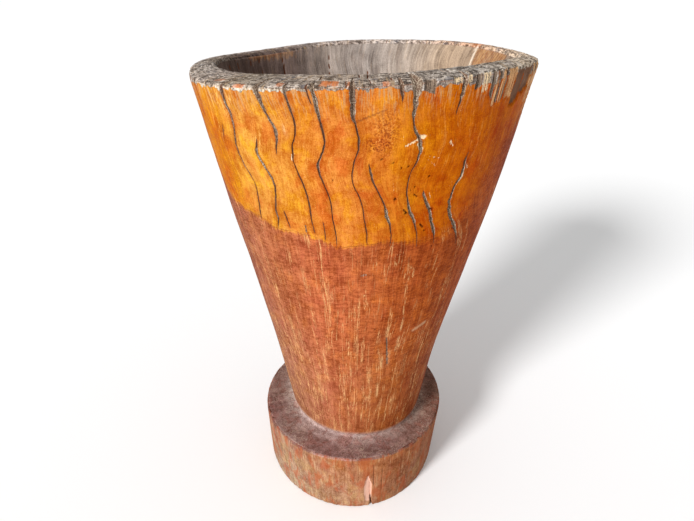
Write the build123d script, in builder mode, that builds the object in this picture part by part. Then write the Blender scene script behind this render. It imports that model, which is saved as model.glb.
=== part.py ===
from build123d import *
from math import atan2, cos, degrees, hypot, pi, radians, sin, tan
import os

# Grain mortar hollowed and hewn out of one log, standing on its foot.
# Frame: +Z up, origin at the middle of the foot's resting face, front at -Y.
# Angles are measured in degrees from +X, counter-clockwise seen from above.

# ---- driving dimensions (mm, degrees) ----
rim_r = 205.0               # mean outer radius of the rim
rim_h = 631.0               # mean height of the rim's outer edge
rim_tilt = 6.3              # the rim stands this much higher on the +X side
crown_rise = 4.1            # the mouth's inner edge stands this much above the outer edge
mouth_r = 170.7             # mean radius of the mouth's inner edge
waist_r = 102.5             # radius of the vessel where it meets the ledge
ledge_h = 110.6             # height of the ledge on top of the foot
ledge_r = 145.4             # outer radius of the ledge
foot_r = 139.6              # outer radius of the foot on the ground
edge_wear = 2.5             # worn edge of the foot's ledge
base_wear = 2.0             # worn edge of the resting face
bowl_join_h = 285.0         # height where the bowl's wall runs into its round bottom
bowl_join_r = 62.0          # radius of the bowl there
heart_low_h = 440.0         # the heartwood column spreads slightly from this height...
heart_high_h = 645.0        # ...to this one
outline_points = 36         # points in each hewn outline

# Hewn outlines are not quite round: each pair is the cosine and sine part of
# the 1st, 2nd, 3rd... wave round the axis, as a fraction of rim_r.
rim_wave = [0.0209, 0.0032, -0.0028, 0.0005, 0.0049, 0.0009, -0.0033, -0.0014, 0.0024, 0.0106]
mouth_wave = [0.0719, 0.0069, 0.0287, -0.0038, -0.0306, 0.0]
waist_wave = [0.0046, -0.0005, -0.0008, -0.0120]
ledge_wave = [-0.0050, 0.0018, -0.0096, 0.0110, -0.0028, -0.0013]
foot_wave = [-0.0223, 0.0014, -0.0024, 0.0013, -0.0026, 0.0084]

# The vessel's wall is slightly hollow low down and full near the rim:
# (share of the height, change of radius, shift along X in mm)
wall_stations = [(-0.03, 0.0, 0.0), (0.25, -0.0275, -0.90), (0.50, -0.0091, 0.31),
                 (0.75, 0.0070, 0.76), (1.00, 0.0, 0.0), (1.06, 0.0, 0.0)]

# Outline of the heartwood column: (angle, radius low down, radius at the rim)
heart_outline = [(0, 199, 199), (30, 196, 197), (60, 190, 193), (90, 187, 187), (120, 185, 183),
                 (150, 183, 183), (180, 182, 184), (210, 179, 181), (235, 176, 177),
                 (262, 173, 178), (285, 172, 183), (300, 175, 188), (312, 183, 191),
                 (322, 193, 194), (340, 198, 198)]

# Sapwood broken away from the rim on the right: angles and depth below the rim
flake_from, flake_to = 315.0, 328.0
flake_depth = 40.0

# Chip broken out of the foot at the front, beside a short split
chip_angle = 278.8
chip_w, chip_h, chip_in = 13.0, 74.0, 5.0
split_w, split_h, split_in = 3.0, 18.0, 9.0


def wave(parts, angle):
    """Sum of the waves of an outline at an angle in radians."""
    total = 0.0
    for k in range(len(parts) // 2):
        total += parts[2 * k] * cos((k + 1) * angle) + parts[2 * k + 1] * sin((k + 1) * angle)
    return total


def ring(radius_at, shift=0.0):
    """Closed outline points from a radius that depends on the angle."""
    points = []
    for i in range(outline_points):
        angle = 2 * pi * i / outline_points
        r = radius_at(angle)
        points.append((r * cos(angle) + shift, r * sin(angle)))
    return points


def vessel_ring(share):
    """Outline of the outer wall at a share of the height from ledge to rim."""
    swell = {s: a for s, a, c in wall_stations}[share]
    shift = {s: c for s, a, c in wall_stations}[share]

    def radius_at(angle):
        low = waist_r + rim_r * wave(waist_wave, angle)
        high = rim_r + rim_r * wave(rim_wave, angle)
        # the rim stands higher on one side, so a level cut meets it lower there
        own = share - share * rim_tilt * cos(angle) / (rim_h - ledge_h)
        return (low + (high - low) * own) * (1 + swell)

    return ring(radius_at, shift)


def bowl_ring(z):
    """Outline of the bowl at a height: round low down, uneven at the mouth."""
    s = (z - bowl_join_h) / (rim_h + crown_rise - bowl_join_h)

    def radius_at(angle):
        return bowl_join_r + (mouth_r - bowl_join_r) * s + rim_r * wave(mouth_wave, angle) * s * s

    return ring(radius_at)


os.makedirs("parts", exist_ok=True)

# ---- the whole carving, before it is told apart into its two woods ----
with BuildPart() as log:
    # foot
    with BuildSketch(Plane.XY):
        with BuildLine():
            Spline(*ring(lambda a: foot_r + rim_r * wave(foot_wave, a)), periodic=True)
        make_face()
    with BuildSketch(Plane.XY.offset(ledge_h)):
        with BuildLine():
            Spline(*ring(lambda a: ledge_r + rim_r * wave(ledge_wave, a)), periodic=True)
        make_face()
    loft(ruled=True)
    ledge_edge = log.edges().filter_by(lambda e: e.center().Z > ledge_h - 1 and e.length > 500)
    chamfer(ledge_edge, edge_wear)
    base_edge = log.edges().filter_by(lambda e: e.center().Z < 1 and e.length > 500)
    chamfer(base_edge, base_wear)

with BuildPart() as vessel:
    # outer wall, from inside the foot to above the rim
    for share, swell, shift in wall_stations:
        with BuildSketch(Plane.XY.offset(ledge_h + share * (rim_h - ledge_h))):
            with BuildLine():
                Spline(*vessel_ring(share), periodic=True)
            make_face()
    loft()
    # the crown: a shallow cone on a tilted axis trims the rim
    tilt = degrees(atan2(rim_tilt, rim_r))
    crown_plane = Plane(origin=(0, 0, rim_h), x_dir=(cos(radians(tilt)), 0, sin(radians(tilt))),
                        z_dir=(-sin(radians(tilt)), 0, cos(radians(tilt))))
    fall = crown_rise / (rim_r - mouth_r)
    profile_plane = Plane(origin=crown_plane.origin, x_dir=crown_plane.x_dir,
                          z_dir=(0, -1, 0))
    with BuildSketch(profile_plane):
        with BuildLine():
            Polyline((0, -700), (260, -700), (260, -fall * (260 - rim_r)),
                     (0, fall * rim_r), close=True)
        make_face()
    revolve(axis=Axis(crown_plane.origin, crown_plane.z_dir), mode=Mode.INTERSECT)

with BuildPart() as bowl:
    # wall of the bowl, starting inside the round bottom
    for z in (bowl_join_h - 15, 400.0, 520.0, rim_h + crown_rise, 665.0):
        with BuildSketch(Plane.XY.offset(z)):
            with BuildLine():
                Spline(*bowl_ring(z), periodic=True)
            make_face()
    loft()
    # round bottom, a little fuller than the wall so that the two cross cleanly
    slope = atan2(mouth_r - bowl_join_r, rim_h + crown_rise - bowl_join_h)
    bottom_r = bowl_join_r / cos(slope) + 1.5
    bottom_z = bowl_join_h + bottom_r * sin(slope)
    with Locations((0, 0, bottom_z)):
        Sphere(bottom_r)

with BuildPart() as carving:
    add(log.part)
    add(vessel.part)
    add(bowl.part, mode=Mode.SUBTRACT)
    # chip and short split in the foot
    a = radians(chip_angle)
    outward = (cos(a), sin(a), 0)
    skin = (foot_r + rim_r * wave(foot_wave, a)) - 0.5
    chip_plane = Plane(origin=(skin * cos(a), skin * sin(a), 0),
                       x_dir=(-sin(a), cos(a), 0), z_dir=outward)
    with BuildSketch(chip_plane.offset(-chip_in + 1)):
        with BuildLine():
            Polyline((-chip_w / 2, -5), (-chip_w / 2, chip_h * 0.62), (-chip_w / 4, chip_h),
                     (chip_w * 0.3, chip_h * 0.92), (chip_w / 2, -5), close=True)
        make_face()
    extrude(amount=20, mode=Mode.SUBTRACT)
    with BuildSketch(chip_plane.offset(-split_in)):
        with BuildLine():
            Polyline((chip_w * 0.25, -5), (chip_w * 0.25 + 0.4, split_h),
                     (chip_w * 0.25 + split_w, -5), close=True)
        make_face()
    extrude(amount=25, mode=Mode.SUBTRACT)

heart_low = [(r * cos(radians(a)), r * sin(radians(a))) for a, r, top in heart_outline]
heart_high = [(r * cos(radians(a)), r * sin(radians(a))) for a, low, r in heart_outline]

# ---- the heartwood column inside the log ----
with BuildPart() as column:
    for z, outline in ((-10.0, heart_low), (heart_low_h, heart_low),
                       (heart_high_h, heart_high), (700.0, heart_high)):
        with BuildSketch(Plane.XY.offset(z)):
            with BuildLine():
                Spline(*outline, periodic=True)
            make_face()
    loft(ruled=True)

# ---- heartwood: foot, lower vessel and lining of the bowl ----
with BuildPart() as heartwood:
    add(carving.part)
    add(column.part, mode=Mode.INTERSECT)
heartwood.part.label = "heartwood"

# ---- sapwood: the paler ring round the upper vessel ----
with BuildPart() as sapwood:
    add(carving.part)
    add(column.part, mode=Mode.SUBTRACT)
    # panel flaked off the rim
    with BuildSketch(Plane.XY.offset(rim_h - flake_depth)):
        with BuildLine():
            Polyline((0, 0), (260 * cos(radians(flake_from)), 260 * sin(radians(flake_from))),
                     (260 * cos(radians(flake_to)), 260 * sin(radians(flake_to))), close=True)
        make_face()
    extrude(amount=60, mode=Mode.SUBTRACT)
sapwood.part.label = "sapwood"

for piece in (heartwood, sapwood):
    export_step(piece.part, f"parts/{piece.part.label}.step")
    print(piece.part.label, len(piece.part.solids()), round(piece.part.volume / 1e6, 3), "litres",
          piece.part.bounding_box())
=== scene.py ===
import math
import bpy
import numpy as np
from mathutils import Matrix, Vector


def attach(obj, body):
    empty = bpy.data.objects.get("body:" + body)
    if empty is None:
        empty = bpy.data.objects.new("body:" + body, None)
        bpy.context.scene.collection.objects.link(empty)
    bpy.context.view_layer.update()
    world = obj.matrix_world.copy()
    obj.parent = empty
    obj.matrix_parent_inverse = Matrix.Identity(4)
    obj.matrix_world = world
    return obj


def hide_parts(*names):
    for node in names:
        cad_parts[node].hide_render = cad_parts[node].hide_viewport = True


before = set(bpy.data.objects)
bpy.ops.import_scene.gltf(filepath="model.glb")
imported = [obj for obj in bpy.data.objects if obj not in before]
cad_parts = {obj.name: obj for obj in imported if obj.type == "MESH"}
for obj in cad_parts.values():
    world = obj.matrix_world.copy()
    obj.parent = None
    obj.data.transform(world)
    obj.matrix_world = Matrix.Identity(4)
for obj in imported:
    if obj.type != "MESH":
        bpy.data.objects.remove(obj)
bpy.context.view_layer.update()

# Lengths below are in millimetres until the meshes are made; Blender gets metres.
# Angles are in degrees from +X, counter-clockwise from above; the front is -90.
MM = 0.001

# ------------------------------------------------------------------ the turned outline
RIM_R, RIM_H, LEDGE_H = 205.0, 631.0, 110.6
WAIST_R, LEDGE_R, FOOT_R, MOUTH_R, CROWN = 102.46, 145.4, 139.65, 170.66, 4.1
RIM_Z = [0.0309, -0.0022, -0.0078, -0.0059, -0.0063, -0.0041, -0.0011, 0.0005, -0.0041, 0.0005]
RIM_W = [0.0209, 0.0032, -0.0028, 0.0005, 0.0049, 0.0009, -0.0033, -0.0014, 0.0024, 0.0106]
MOUTH_W = [0.0719, 0.0069, 0.0287, -0.0038, -0.0306, 0.0]
WAIST_W = [0.0046, -0.0005, -0.0008, -0.0120]
LEDGE_W = [-0.0050, 0.0018, -0.0096, 0.0110, -0.0028, -0.0013]
FOOT_W = [-0.0223, 0.0014, -0.0024, 0.0013, -0.0026, 0.0084]
BOWL_H, BOWL_R = 285.0, 62.0
HEART = [(0, 199, 199), (30, 196, 197), (60, 190, 193), (90, 187, 187), (120, 185, 183),
         (150, 183, 183), (180, 182, 184), (210, 179, 181), (235, 176, 177),
         (262, 173, 178), (285, 172, 183), (300, 175, 188), (312, 183, 191),
         (322, 193, 194), (340, 198, 198)]


def wave(parts, a):
    out = np.zeros_like(a)
    for k in range(len(parts) // 2):
        out += parts[2 * k] * np.cos((k + 1) * a) + parts[2 * k + 1] * np.sin((k + 1) * a)
    return out * RIM_R


def round_trip(table, deg):
    """Periodic smooth reading of a table of (angle, value)."""
    a = np.array([p[0] for p in table], float) % 360
    v = np.array([p[1] for p in table], float)
    o = np.argsort(a)
    a, v = a[o], v[o]
    a = np.concatenate([a[-3:] - 360, a, a[:3] + 360])
    v = np.concatenate([v[-3:], v, v[:3]])
    return smooth_read(a, v, np.asarray(deg, float) % 360)


def smooth_read(x, y, q):
    """Monotone cubic reading of points (x, y), flat outside."""
    x, y = np.asarray(x, float), np.asarray(y, float)
    h = np.diff(x)
    d = np.diff(y) / h
    m = np.zeros_like(y)
    m[1:-1] = np.where(d[:-1] * d[1:] > 0, 2 * d[:-1] * d[1:] / (d[:-1] + d[1:] + 1e-12), 0)
    m[0], m[-1] = d[0], d[-1]
    q = np.clip(q, x[0], x[-1])
    i = np.clip(np.searchsorted(x, q) - 1, 0, len(h) - 1)
    s = (q - x[i]) / h[i]
    return (y[i] * (1 + 2 * s) * (1 - s) ** 2 + m[i] * h[i] * s * (1 - s) ** 2
            + y[i + 1] * s * s * (3 - 2 * s) + m[i + 1] * h[i] * s * s * (s - 1))


def step(x, lo, hi):
    s = np.clip((x - lo) / (hi - lo), 0, 1)
    return s * s * (3 - 2 * s)


SWELL = ([-0.1, 0, 0.25, 0.5, 0.75, 1.0, 1.1], [0, 0, -0.0275, -0.0091, 0.007, 0, 0])
SHIFT = ([-0.1, 0, 0.25, 0.5, 0.75, 1.0, 1.1], [0, 0, -0.90, 0.31, 0.76, 0, 0])


def rim_height(a):
    return RIM_H + wave(RIM_Z, a)


def cone(a, t):
    """Outer wall at angle a (radians) and share t of the height from ledge to rim."""
    low = WAIST_R + wave(WAIST_W, a)
    high = RIM_R + wave(RIM_W, a)
    r = (low + (high - low) * t) * (1 + smooth_read(*SWELL, t))
    z = LEDGE_H * (1 - t) + rim_height(a) * t
    return r * np.cos(a) + smooth_read(*SHIFT, t), r * np.sin(a), z


def bowl_radius(a, z):
    s = (z - BOWL_H) / (RIM_H + CROWN - BOWL_H)
    s = np.maximum(s, 0)
    return BOWL_R + (MOUTH_R - BOWL_R) * s + wave(MOUTH_W, a) * s * s


# ------------------------------------------------------------------ noise
def noise(p, seed, octaves=1, gain=0.5):
    """Gradient noise, about -1..1, at points p of shape (n, 3)."""
    total, amp, norm = 0.0, 1.0, 0.0
    for o in range(octaves):
        rng = np.random.RandomState(seed * 31 + o)
        perm = rng.permutation(256)
        perm = np.concatenate([perm, perm, perm[:2]])
        g = rng.normal(size=(256, 3))
        g /= np.linalg.norm(g, axis=1)[:, None]
        q = np.asarray(p, np.float32) * (2 ** o)
        i0 = np.floor(q).astype(np.int32)
        f = q - i0
        w = f * f * f * (f * (f * 6 - 15) + 10)
        i0 &= 255
        acc = 0.0
        for dx in (0, 1):
            for dy in (0, 1):
                for dz in (0, 1):
                    h = perm[perm[perm[(i0[:, 0] + dx) & 255] + ((i0[:, 1] + dy) & 255)]
                             + ((i0[:, 2] + dz) & 255)]
                    gr = g[h]
                    dot = (gr[:, 0] * (f[:, 0] - dx) + gr[:, 1] * (f[:, 1] - dy)
                           + gr[:, 2] * (f[:, 2] - dz))
                    wt = ((w[:, 0] if dx else 1 - w[:, 0]) * (w[:, 1] if dy else 1 - w[:, 1])
                          * (w[:, 2] if dz else 1 - w[:, 2]))
                    acc = acc + dot * wt
        total = total + acc * amp * 1.6
        norm += amp
        amp *= gain
    return total / norm


# ------------------------------------------------------------------ drying checks
# Each check: its line from rim to foot as (angle, share of height), the part of the
# line that is really open (top, bottom), widths in mm along it as (share, width),
# and how pale the weathered wood in it is.
CHECKS = [
    ("a0", [(-133.2, 1.0), (-132.5, .94), (-133.0, .915), (-134.2, .89), (-134.0, .86), (-132.0, .80), (-131.5, .74), (-131.5, .6)],
     .93, .88, [(.93, .6), (.91, 2.2), (.88, .6)], .5),
    ("a", [(-128.6, 1.0), (-128.0, .965), (-127.0, .945), (-127.0, .93), (-127.3, .915), (-128.0, .90), (-128.4, .885),
           (-128.2, .87), (-127.6, .855), (-126.9, .842), (-126.0, .832), (-125.1, .822), (-124.3, .808), (-124.1, .795),
           (-124.4, .78), (-124.7, .765), (-125.1, .75), (-125.5, .735), (-125.8, .72), (-126.0, .68), (-126.0, .6)],
     1.01, .715, [(1.0, 5.5), (.97, 4.0), (.94, 2.8), (.88, 2.6), (.80, 2.0), (.74, 2.2), (.715, .8)], .35),
    ("b2", [(-119.4, 1.0), (-118.9, .96), (-118.6, .93), (-119.2, .905), (-119.8, .89), (-120.3, .88), (-120.0, .868),
            (-119.3, .858), (-118.4, .845), (-117.5, .835), (-116.7, .825), (-116.3, .81), (-116.6, .79), (-117.3, .77),
            (-117.9, .75), (-117.7, .735), (-118.2, .72), (-118.8, .705), (-118.9, .66), (-118.8, .6)],
     .91, .702, [(.91, .8), (.885, 2.8), (.85, 3.2), (.82, 2.6), (.77, 2.2), (.73, 2.6), (.702, .8)], .55),
    ("b1", [(-116.6, 1.0), (-115.7, .978), (-114.8, .96), (-113.7, .943), (-112.8, .93), (-112.5, .918), (-112.7, .903),
            (-113.2, .89), (-113.5, .875), (-113.8, .85), (-113.4, .82), (-113.9, .78), (-114.7, .755), (-114.3, .74),
            (-113.8, .725), (-113.5, .71), (-113.4, .66), (-113.4, .6)],
     1.01, .87, [(1.0, 7.0), (.98, 4.0), (.95, 2.6), (.92, 3.2), (.89, 2.4), (.87, .7)], .6),
    ("b3", None, .76, .707, [(.76, .8), (.745, 2.2), (.725, 1.8), (.707, .6)], .4),
    ("c", [(-108.4, 1.0), (-108.0, .98), (-107.5, .965), (-107.0, .95), (-106.6, .935), (-106.8, .92), (-107.5, .905),
           (-108.2, .895), (-108.4, .88), (-108.6, .868), (-108.2, .855), (-107.6, .84), (-106.8, .825), (-106.2, .81),
           (-105.7, .795), (-105.4, .78), (-105.2, .765), (-105.2, .75), (-105.1, .735), (-104.7, .715), (-104.3, .70),
           (-104.2, .66), (-104.2, .6)],
     1.01, .70, [(1.0, 3.2), (.96, 2.4), (.92, 2.0), (.86, 1.8), (.80, 2.2), (.76, 2.2), (.72, 1.6), (.70, .6)], .55),
    ("d2", [(-102.7, 1.0), (-102.3, .985), (-101.7, .972), (-101.0, .962), (-101.2, .93), (-102.2, .88), (-103.0, .85),
            (-102.4, .80), (-101.4, .74), (-101.0, .72), (-100.9, .70), (-101.0, .685), (-101.0, .6)],
     1.01, .962, [(1.0, 2.2), (.98, 2.0), (.962, 1.0)], .3),
    ("d3", None, .745, .684, [(.745, .4), (.72, 1.2), (.70, 1.4), (.684, .4)], .2),
    ("d", [(-101.3, 1.0), (-100.8, .985), (-100.4, .97), (-100.0, .95), (-99.5, .935), (-99.1, .92), (-98.8, .905),
           (-99.3, .89), (-100.2, .875), (-101.0, .865), (-101.3, .853), (-101.0, .84), (-100.4, .828), (-99.8, .815),
           (-99.0, .80), (-98.4, .785), (-98.1, .77), (-98.0, .755), (-97.9, .74), (-97.5, .725), (-97.2, .71),
           (-97.0, .695), (-97.0, .68), (-97.2, .66), (-97.2, .6)],
     1.01, .665, [(1.0, 4.0), (.97, 3.6), (.94, 2.4), (.90, 2.2), (.86, 2.8), (.82, 2.0), (.76, 1.6), (.71, 1.8), (.665, .6)], .6),
    ("e", [(-91.3, 1.0), (-91.1, .98), (-91.1, .96), (-91.0, .945), (-90.5, .935), (-90.0, .92), (-89.5, .905),
           (-89.5, .89), (-90.1, .877), (-90.8, .865), (-91.2, .85), (-91.5, .835), (-91.2, .82), (-90.5, .808),
           (-89.5, .795), (-88.7, .78), (-88.1, .765), (-87.8, .75), (-87.4, .735), (-86.9, .72), (-86.5, .705),
           (-86.4, .69), (-86.3, .68), (-86.3, .64), (-86.3, .6)],
     1.02, .675, [(1.0, 5.0), (.96, 4.6), (.945, 3.2), (.93, 2.2), (.90, 2.4), (.86, 1.8), (.82, 1.6), (.76, 1.6), (.71, 1.8), (.675, .6)], .45),
    ("f2", [(-86.9, 1.0), (-86.6, .95), (-85.6, .925), (-85.4, .90), (-86.0, .88), (-86.6, .86), (-86.2, .845),
            (-85.8, .835), (-85.1, .82), (-84.3, .81), (-83.5, .80), (-82.7, .79), (-81.9, .78), (-81.2, .768),
            (-80.7, .755), (-80.2, .745), (-79.6, .735), (-78.9, .725), (-78.5, .71), (-78.1, .70), (-78.0, .685),
            (-78.3, .67), (-78.6, .65), (-78.6, .6)],
     .865, .665, [(.865, .8), (.845, 2.8), (.82, 2.2), (.79, 2.0), (.77, 2.4), (.75, 3.6), (.735, 3.0), (.72, 2.0), (.69, 1.4), (.665, .5)], .75),
    ("g2", [(-79.4, 1.0), (-79.0, .985), (-78.6, .965), (-77.8, .93), (-77.0, .90), (-77.4, .86), (-78.0, .83), (-77.6, .79),
            (-76.4, .76), (-75.6, .73), (-74.5, .71), (-73.8, .69), (-73.4, .66), (-73.2, .6)],
     1.01, .962, [(1.0, 4.4), (.98, 2.8), (.962, .6)], .4),
    ("g", [(-75.4, 1.0), (-75.4, .97), (-75.4, .945), (-75.0, .925), (-74.2, .912), (-73.2, .903), (-72.5, .89),
           (-72.2, .875), (-72.5, .865), (-73.2, .85), (-74.0, .84), (-74.6, .825), (-74.8, .81), (-74.7, .795),
           (-74.2, .78), (-73.5, .765), (-72.7, .75), (-71.8, .74), (-70.9, .73), (-70.3, .72), (-69.8, .71),
           (-69.2, .70), (-68.6, .685), (-68.2, .67), (-68.0, .65), (-68.0, .6)],
     1.02, .655, [(1.0, 8.5), (.975, 5.5), (.95, 3.4), (.93, 2.2), (.90, 3.4), (.87, 3.0), (.84, 1.6), (.80, 1.8), (.77, 2.6), (.75, 3.6),
                  (.73, 2.8), (.70, 1.6), (.655, .5)], .75),
    ("h", [(-68.6, 1.0), (-68.2, .95), (-67.0, .92), (-66.6, .89), (-67.4, .86), (-68.5, .83), (-69.2, .81), (-69.3, .79),
           (-68.6, .78), (-67.9, .77), (-67.0, .76), (-66.1, .75), (-65.2, .735), (-64.4, .72), (-63.5, .71),
           (-62.8, .70), (-62.1, .69), (-61.5, .675), (-61.0, .655), (-60.8, .6)],
     .80, .655, [(.80, 1.0), (.785, 3.0), (.76, 3.2), (.735, 3.4), (.70, 3.8), (.68, 2.0), (.655, .6)], .9),
    ("j", [(-62.6, 1.0), (-63.0, .96), (-63.5, .94), (-62.6, .91), (-61.4, .88), (-61.6, .85), (-62.6, .82), (-62.8, .79),
           (-61.8, .76), (-60.4, .735), (-59.0, .71), (-57.4, .685), (-55.8, .66), (-54.8, .6)],
     1.01, .93, [(1.0, 5.0), (.97, 3.4), (.93, .8)], .4),
    ("i", [(-57.5, 1.0), (-56.8, .94), (-55.8, .90), (-56.0, .86), (-56.5, .84), (-56.4, .825), (-56.7, .81), (-57.6, .80),
           (-58.5, .79), (-58.8, .775), (-58.9, .76), (-58.4, .745), (-57.7, .73), (-56.7, .72), (-55.5, .71),
           (-54.2, .70), (-53.0, .69), (-52.1, .68), (-51.2, .67), (-50.2, .66), (-49.2, .645), (-48.6, .625), (-48.4, .6)],
     .865, .63, [(.865, .8), (.84, 3.0), (.81, 3.4), (.79, 2.8), (.76, 3.2), (.72, 4.2), (.69, 4.6), (.665, 2.6), (.63, .7)], .7),
]
for n, c in enumerate(CHECKS):
    if c[1] is None:
        CHECKS[n] = (c[0], CHECKS[n - 1][1]) + c[2:]

# The side that is turned away carries the same kind of checks in the same wavy grain.
rng = np.random.RandomState(7)
deg = -33.0
back = []
while deg < 215:
    gap = rng.uniform(6.0, 12.0)
    deg += gap
    if deg > 212:
        break
    top = 1.01 if rng.rand() < 0.62 else rng.uniform(.86, .95)
    low = rng.uniform(.67, .80) if rng.rand() < 0.6 else rng.uniform(.80, .93)
    low = min(low, top - .06)
    ph, am = rng.uniform(-.5, .5), rng.uniform(.8, 1.5)
    sway = rng.uniform(2.5, 5.5)
    pts = []
    for t in np.arange(1.0, .595, -.016):
        pts.append((deg + am * math.sin(2 * math.pi * (t - .93) / .125 + ph + .4 * math.sin(deg * .11))
                    * (0.55 + .45 * t) * (1 if t > .7 else (t - .6) / .1)
                    + sway * step(.86 - t, 0.0, .2), t))
    width = rng.uniform(1.4, 3.4)
    ws = [(top, .6 if top < 1 else width * 1.9), (top - .04, width), ((top + low) / 2, width * rng.uniform(.6, 1.1)),
          (low + .03, width * .8), (low, .5)]
    back.append(("r%d" % len(back), pts, top, low, ws, rng.uniform(.3, .8)))
CHECKS += back


def line_at(points, t):
    p = sorted(points, key=lambda q: q[1])
    x = np.array([q[1] for q in p])
    y = np.array([q[0] for q in p])
    return smooth_read(x, y, t)


def width_at(ws, t):
    p = sorted(ws)
    return np.interp(t, [q[0] for q in p], [q[1] for q in p])


# Columns of the mesh follow the grain: each is a line u = constant, and the checks lie
# on such lines, so that their edges stay crisp.
seen = {}
for c in CHECKS:
    seen.setdefault(id(c[1]), c[1])
ANCHORS = sorted(seen.values(), key=lambda pts: min(pts, key=lambda q: q[1])[0] % 360)
anchor_u = np.array([min(p, key=lambda q: q[1])[0] % 360 for p in ANCHORS])
anchor_t = np.linspace(0.6, 1.0, 161)
anchor_w = np.array([line_at(p, anchor_t) % 360 for p in ANCHORS]) - anchor_u[:, None]
anchor_w = (anchor_w + 180) % 360 - 180


def grain_shift(u, t):
    """How far the grain line u (degrees) has wandered at height share t."""
    tt = np.clip(t, 0.6, 1.0)
    k = (tt - 0.6) / 0.4 * 160
    k0 = np.clip(np.floor(k).astype(int), 0, 159)
    f = k - k0
    uu = u % 360
    au = np.concatenate([[anchor_u[-1] - 360], anchor_u, [anchor_u[0] + 360]])
    aw = np.concatenate([anchor_w[-1:], anchor_w, anchor_w[:1]])
    j = np.clip(np.searchsorted(au, uu) - 1, 0, len(au) - 2)
    s = (uu - au[j]) / (au[j + 1] - au[j])
    w0 = aw[j, k0] * (1 - f) + aw[j, k0 + 1] * f
    w1 = aw[j + 1, k0] * (1 - f) + aw[j + 1, k0 + 1] * f
    low = 0.45 * np.sin(2 * np.pi * t / .31 + .7 + np.radians(uu) * 2) * step(.62 - t, 0, .1) * step(t, 0, .12)
    return w0 * (1 - s) + w1 * s + low


# worst crossing of two neighbouring grain lines, as a guard
order = (anchor_u[:, None] + anchor_w)
gapmin = np.diff(np.vstack([order, order[:1] + 360]), axis=0).min()
print("grain lines", len(ANCHORS), "closest", round(float(gapmin), 2), "deg")

# column positions: dense beside the checks
probe = np.arange(0, 360, 0.02)
dens = np.full_like(probe, 1 / 1.55)
front = (np.abs((probe - 268 + 180) % 360 - 180) < 68)
dens[front] = 1 / 1.25
for c in CHECKS:
    u0 = min(c[1], key=lambda q: q[1])[0] % 360
    d = np.abs((probe - u0 + 180) % 360 - 180) * math.pi / 180 * RIM_R
    wmax = max(q[1] for q in c[4])
    near = 1 / (0.42 if c[0][0] != "r" else 0.55)
    dens = np.maximum(dens, near * (1 - step(d, wmax * .55 + .4, wmax * .55 + 3.0)))
for u0 in (-52.6, -50.4, -49.6, -48.0, -47.4, -44.2, -33.0):
    d = np.abs((probe - u0 % 360 + 180) % 360 - 180) * math.pi / 180 * RIM_R
    dens = np.maximum(dens, 1 / .55 * (1 - step(d, 1.0, 2.5)))
cum = np.concatenate([[0], np.cumsum(dens) * (0.02 * math.pi / 180 * RIM_R)])
N = int(round(cum[-1] / 16)) * 16
U = np.interp(np.arange(N) / N * cum[-1], cum, np.arange(0, 360.001, 0.02)[:len(cum)])
print("columns", N)

# ------------------------------------------------------------------ boundary of the two woods
EDGE = [(-180, .79), (-170, .785), (-160, .775), (-150, .762), (-142, .747), (-134, .737), (-126, .722),
        (-118, .706), (-110, .700), (-104, .695), (-98, .682), (-90, .676), (-82, .680), (-74, .679),
        (-66, .670), (-60, .677), (-54, .695), (-48, .73), (-42, .79), (-36, .85), (-30, .89), (-15, .915),
        (0, .92), (30, .91), (60, .88), (90, .86), (120, .84), (150, .81)]


def edge_share(d):
    a = np.radians(d)
    wobble = (.0035 * np.sin(9 * a + 1) + .0028 * np.sin(17 * a + 2.2) + .0018 * np.sin(31 * a + .5)
              + .0012 * np.sin(57 * a))
    return round_trip(EDGE, d) + wobble


tb = edge_share(U)
for _ in range(6):
    tb = edge_share(U + grain_shift(U, tb))

# ------------------------------------------------------------------ rows of the profile
rows = []          # (zone, parameter, stride)


def add_rows(zone, values, stride):
    for v in values:
        rows.append((zone, float(v), stride))


add_rows("under", [.04], 16)
add_rows("under", [.09, .16], 8)
add_rows("under", [.25, .35, .45], 4)
add_rows("under", [.55, .64, .72, .79, .85, .90, .94, .965], 2)
add_rows("baseedge", np.linspace(0, 1, 5), 2)
add_rows("foot", np.linspace(.035, .965, 52), 2)
add_rows("ledgeedge", np.linspace(0, 1, 6), 2)
add_rows("ledge", np.linspace(.06, .90, 24), 2)
add_rows("waist", np.linspace(0, 1, 6), 2)
add_rows("low", np.linspace(.02, .86, 165), 2)       # share of the way up to the boundary
add_rows("low", np.linspace(.865, 1.0, 36), 1)
kb = len(rows) - 1                                     # the boundary row
add_rows("high", np.linspace(0, 1, 112)[1:], 1)        # share of the way from there to the rim
add_rows("rimedge", np.linspace(0, 1, 6)[1:], 1)
add_rows("top", np.linspace(0, 1, 15)[1:], 1)          # rim's outer edge to the boundary
kr = len(rows) - 1
add_rows("top2", np.linspace(0, 1, 13)[1:], 1)         # boundary to the mouth
add_rows("mouthedge", np.linspace(0, 1, 6)[1:], 1)
add_rows("bowl", np.linspace(0, 1, 75)[1:] ** 1.12 * .42, 2)   # share of the way down to the round bottom
add_rows("bowl", .42 + (np.linspace(0, 1, 48)[1:]) * .58, 4)
add_rows("bottom", np.linspace(0, 1, 16)[1:7], 4)
add_rows("bottom", np.linspace(0, 1, 16)[7:12], 8)
add_rows("bottom", np.linspace(0, 1, 16)[12:15], 16)
M = len(rows)
print("rows", M)

EDGE_R = 2.4        # roundness of the rim's outer edge
slope = math.atan2(MOUTH_R - BOWL_R, RIM_H + CROWN - BOWL_H)
BOTTOM_R = BOWL_R / math.cos(slope) + 1.5
BOTTOM_Z = BOWL_H + BOTTOM_R * math.sin(slope)

X = np.zeros((M, N)); Y = np.zeros((M, N)); Z = np.zeros((M, N))
PHI = np.zeros((M, N)); T = np.zeros((M, N))
heart_top = [(p[0], p[2]) for p in HEART]


def lerp(p, q, s):
    return tuple(a + (b - a) * s for a, b in zip(p, q))


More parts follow.
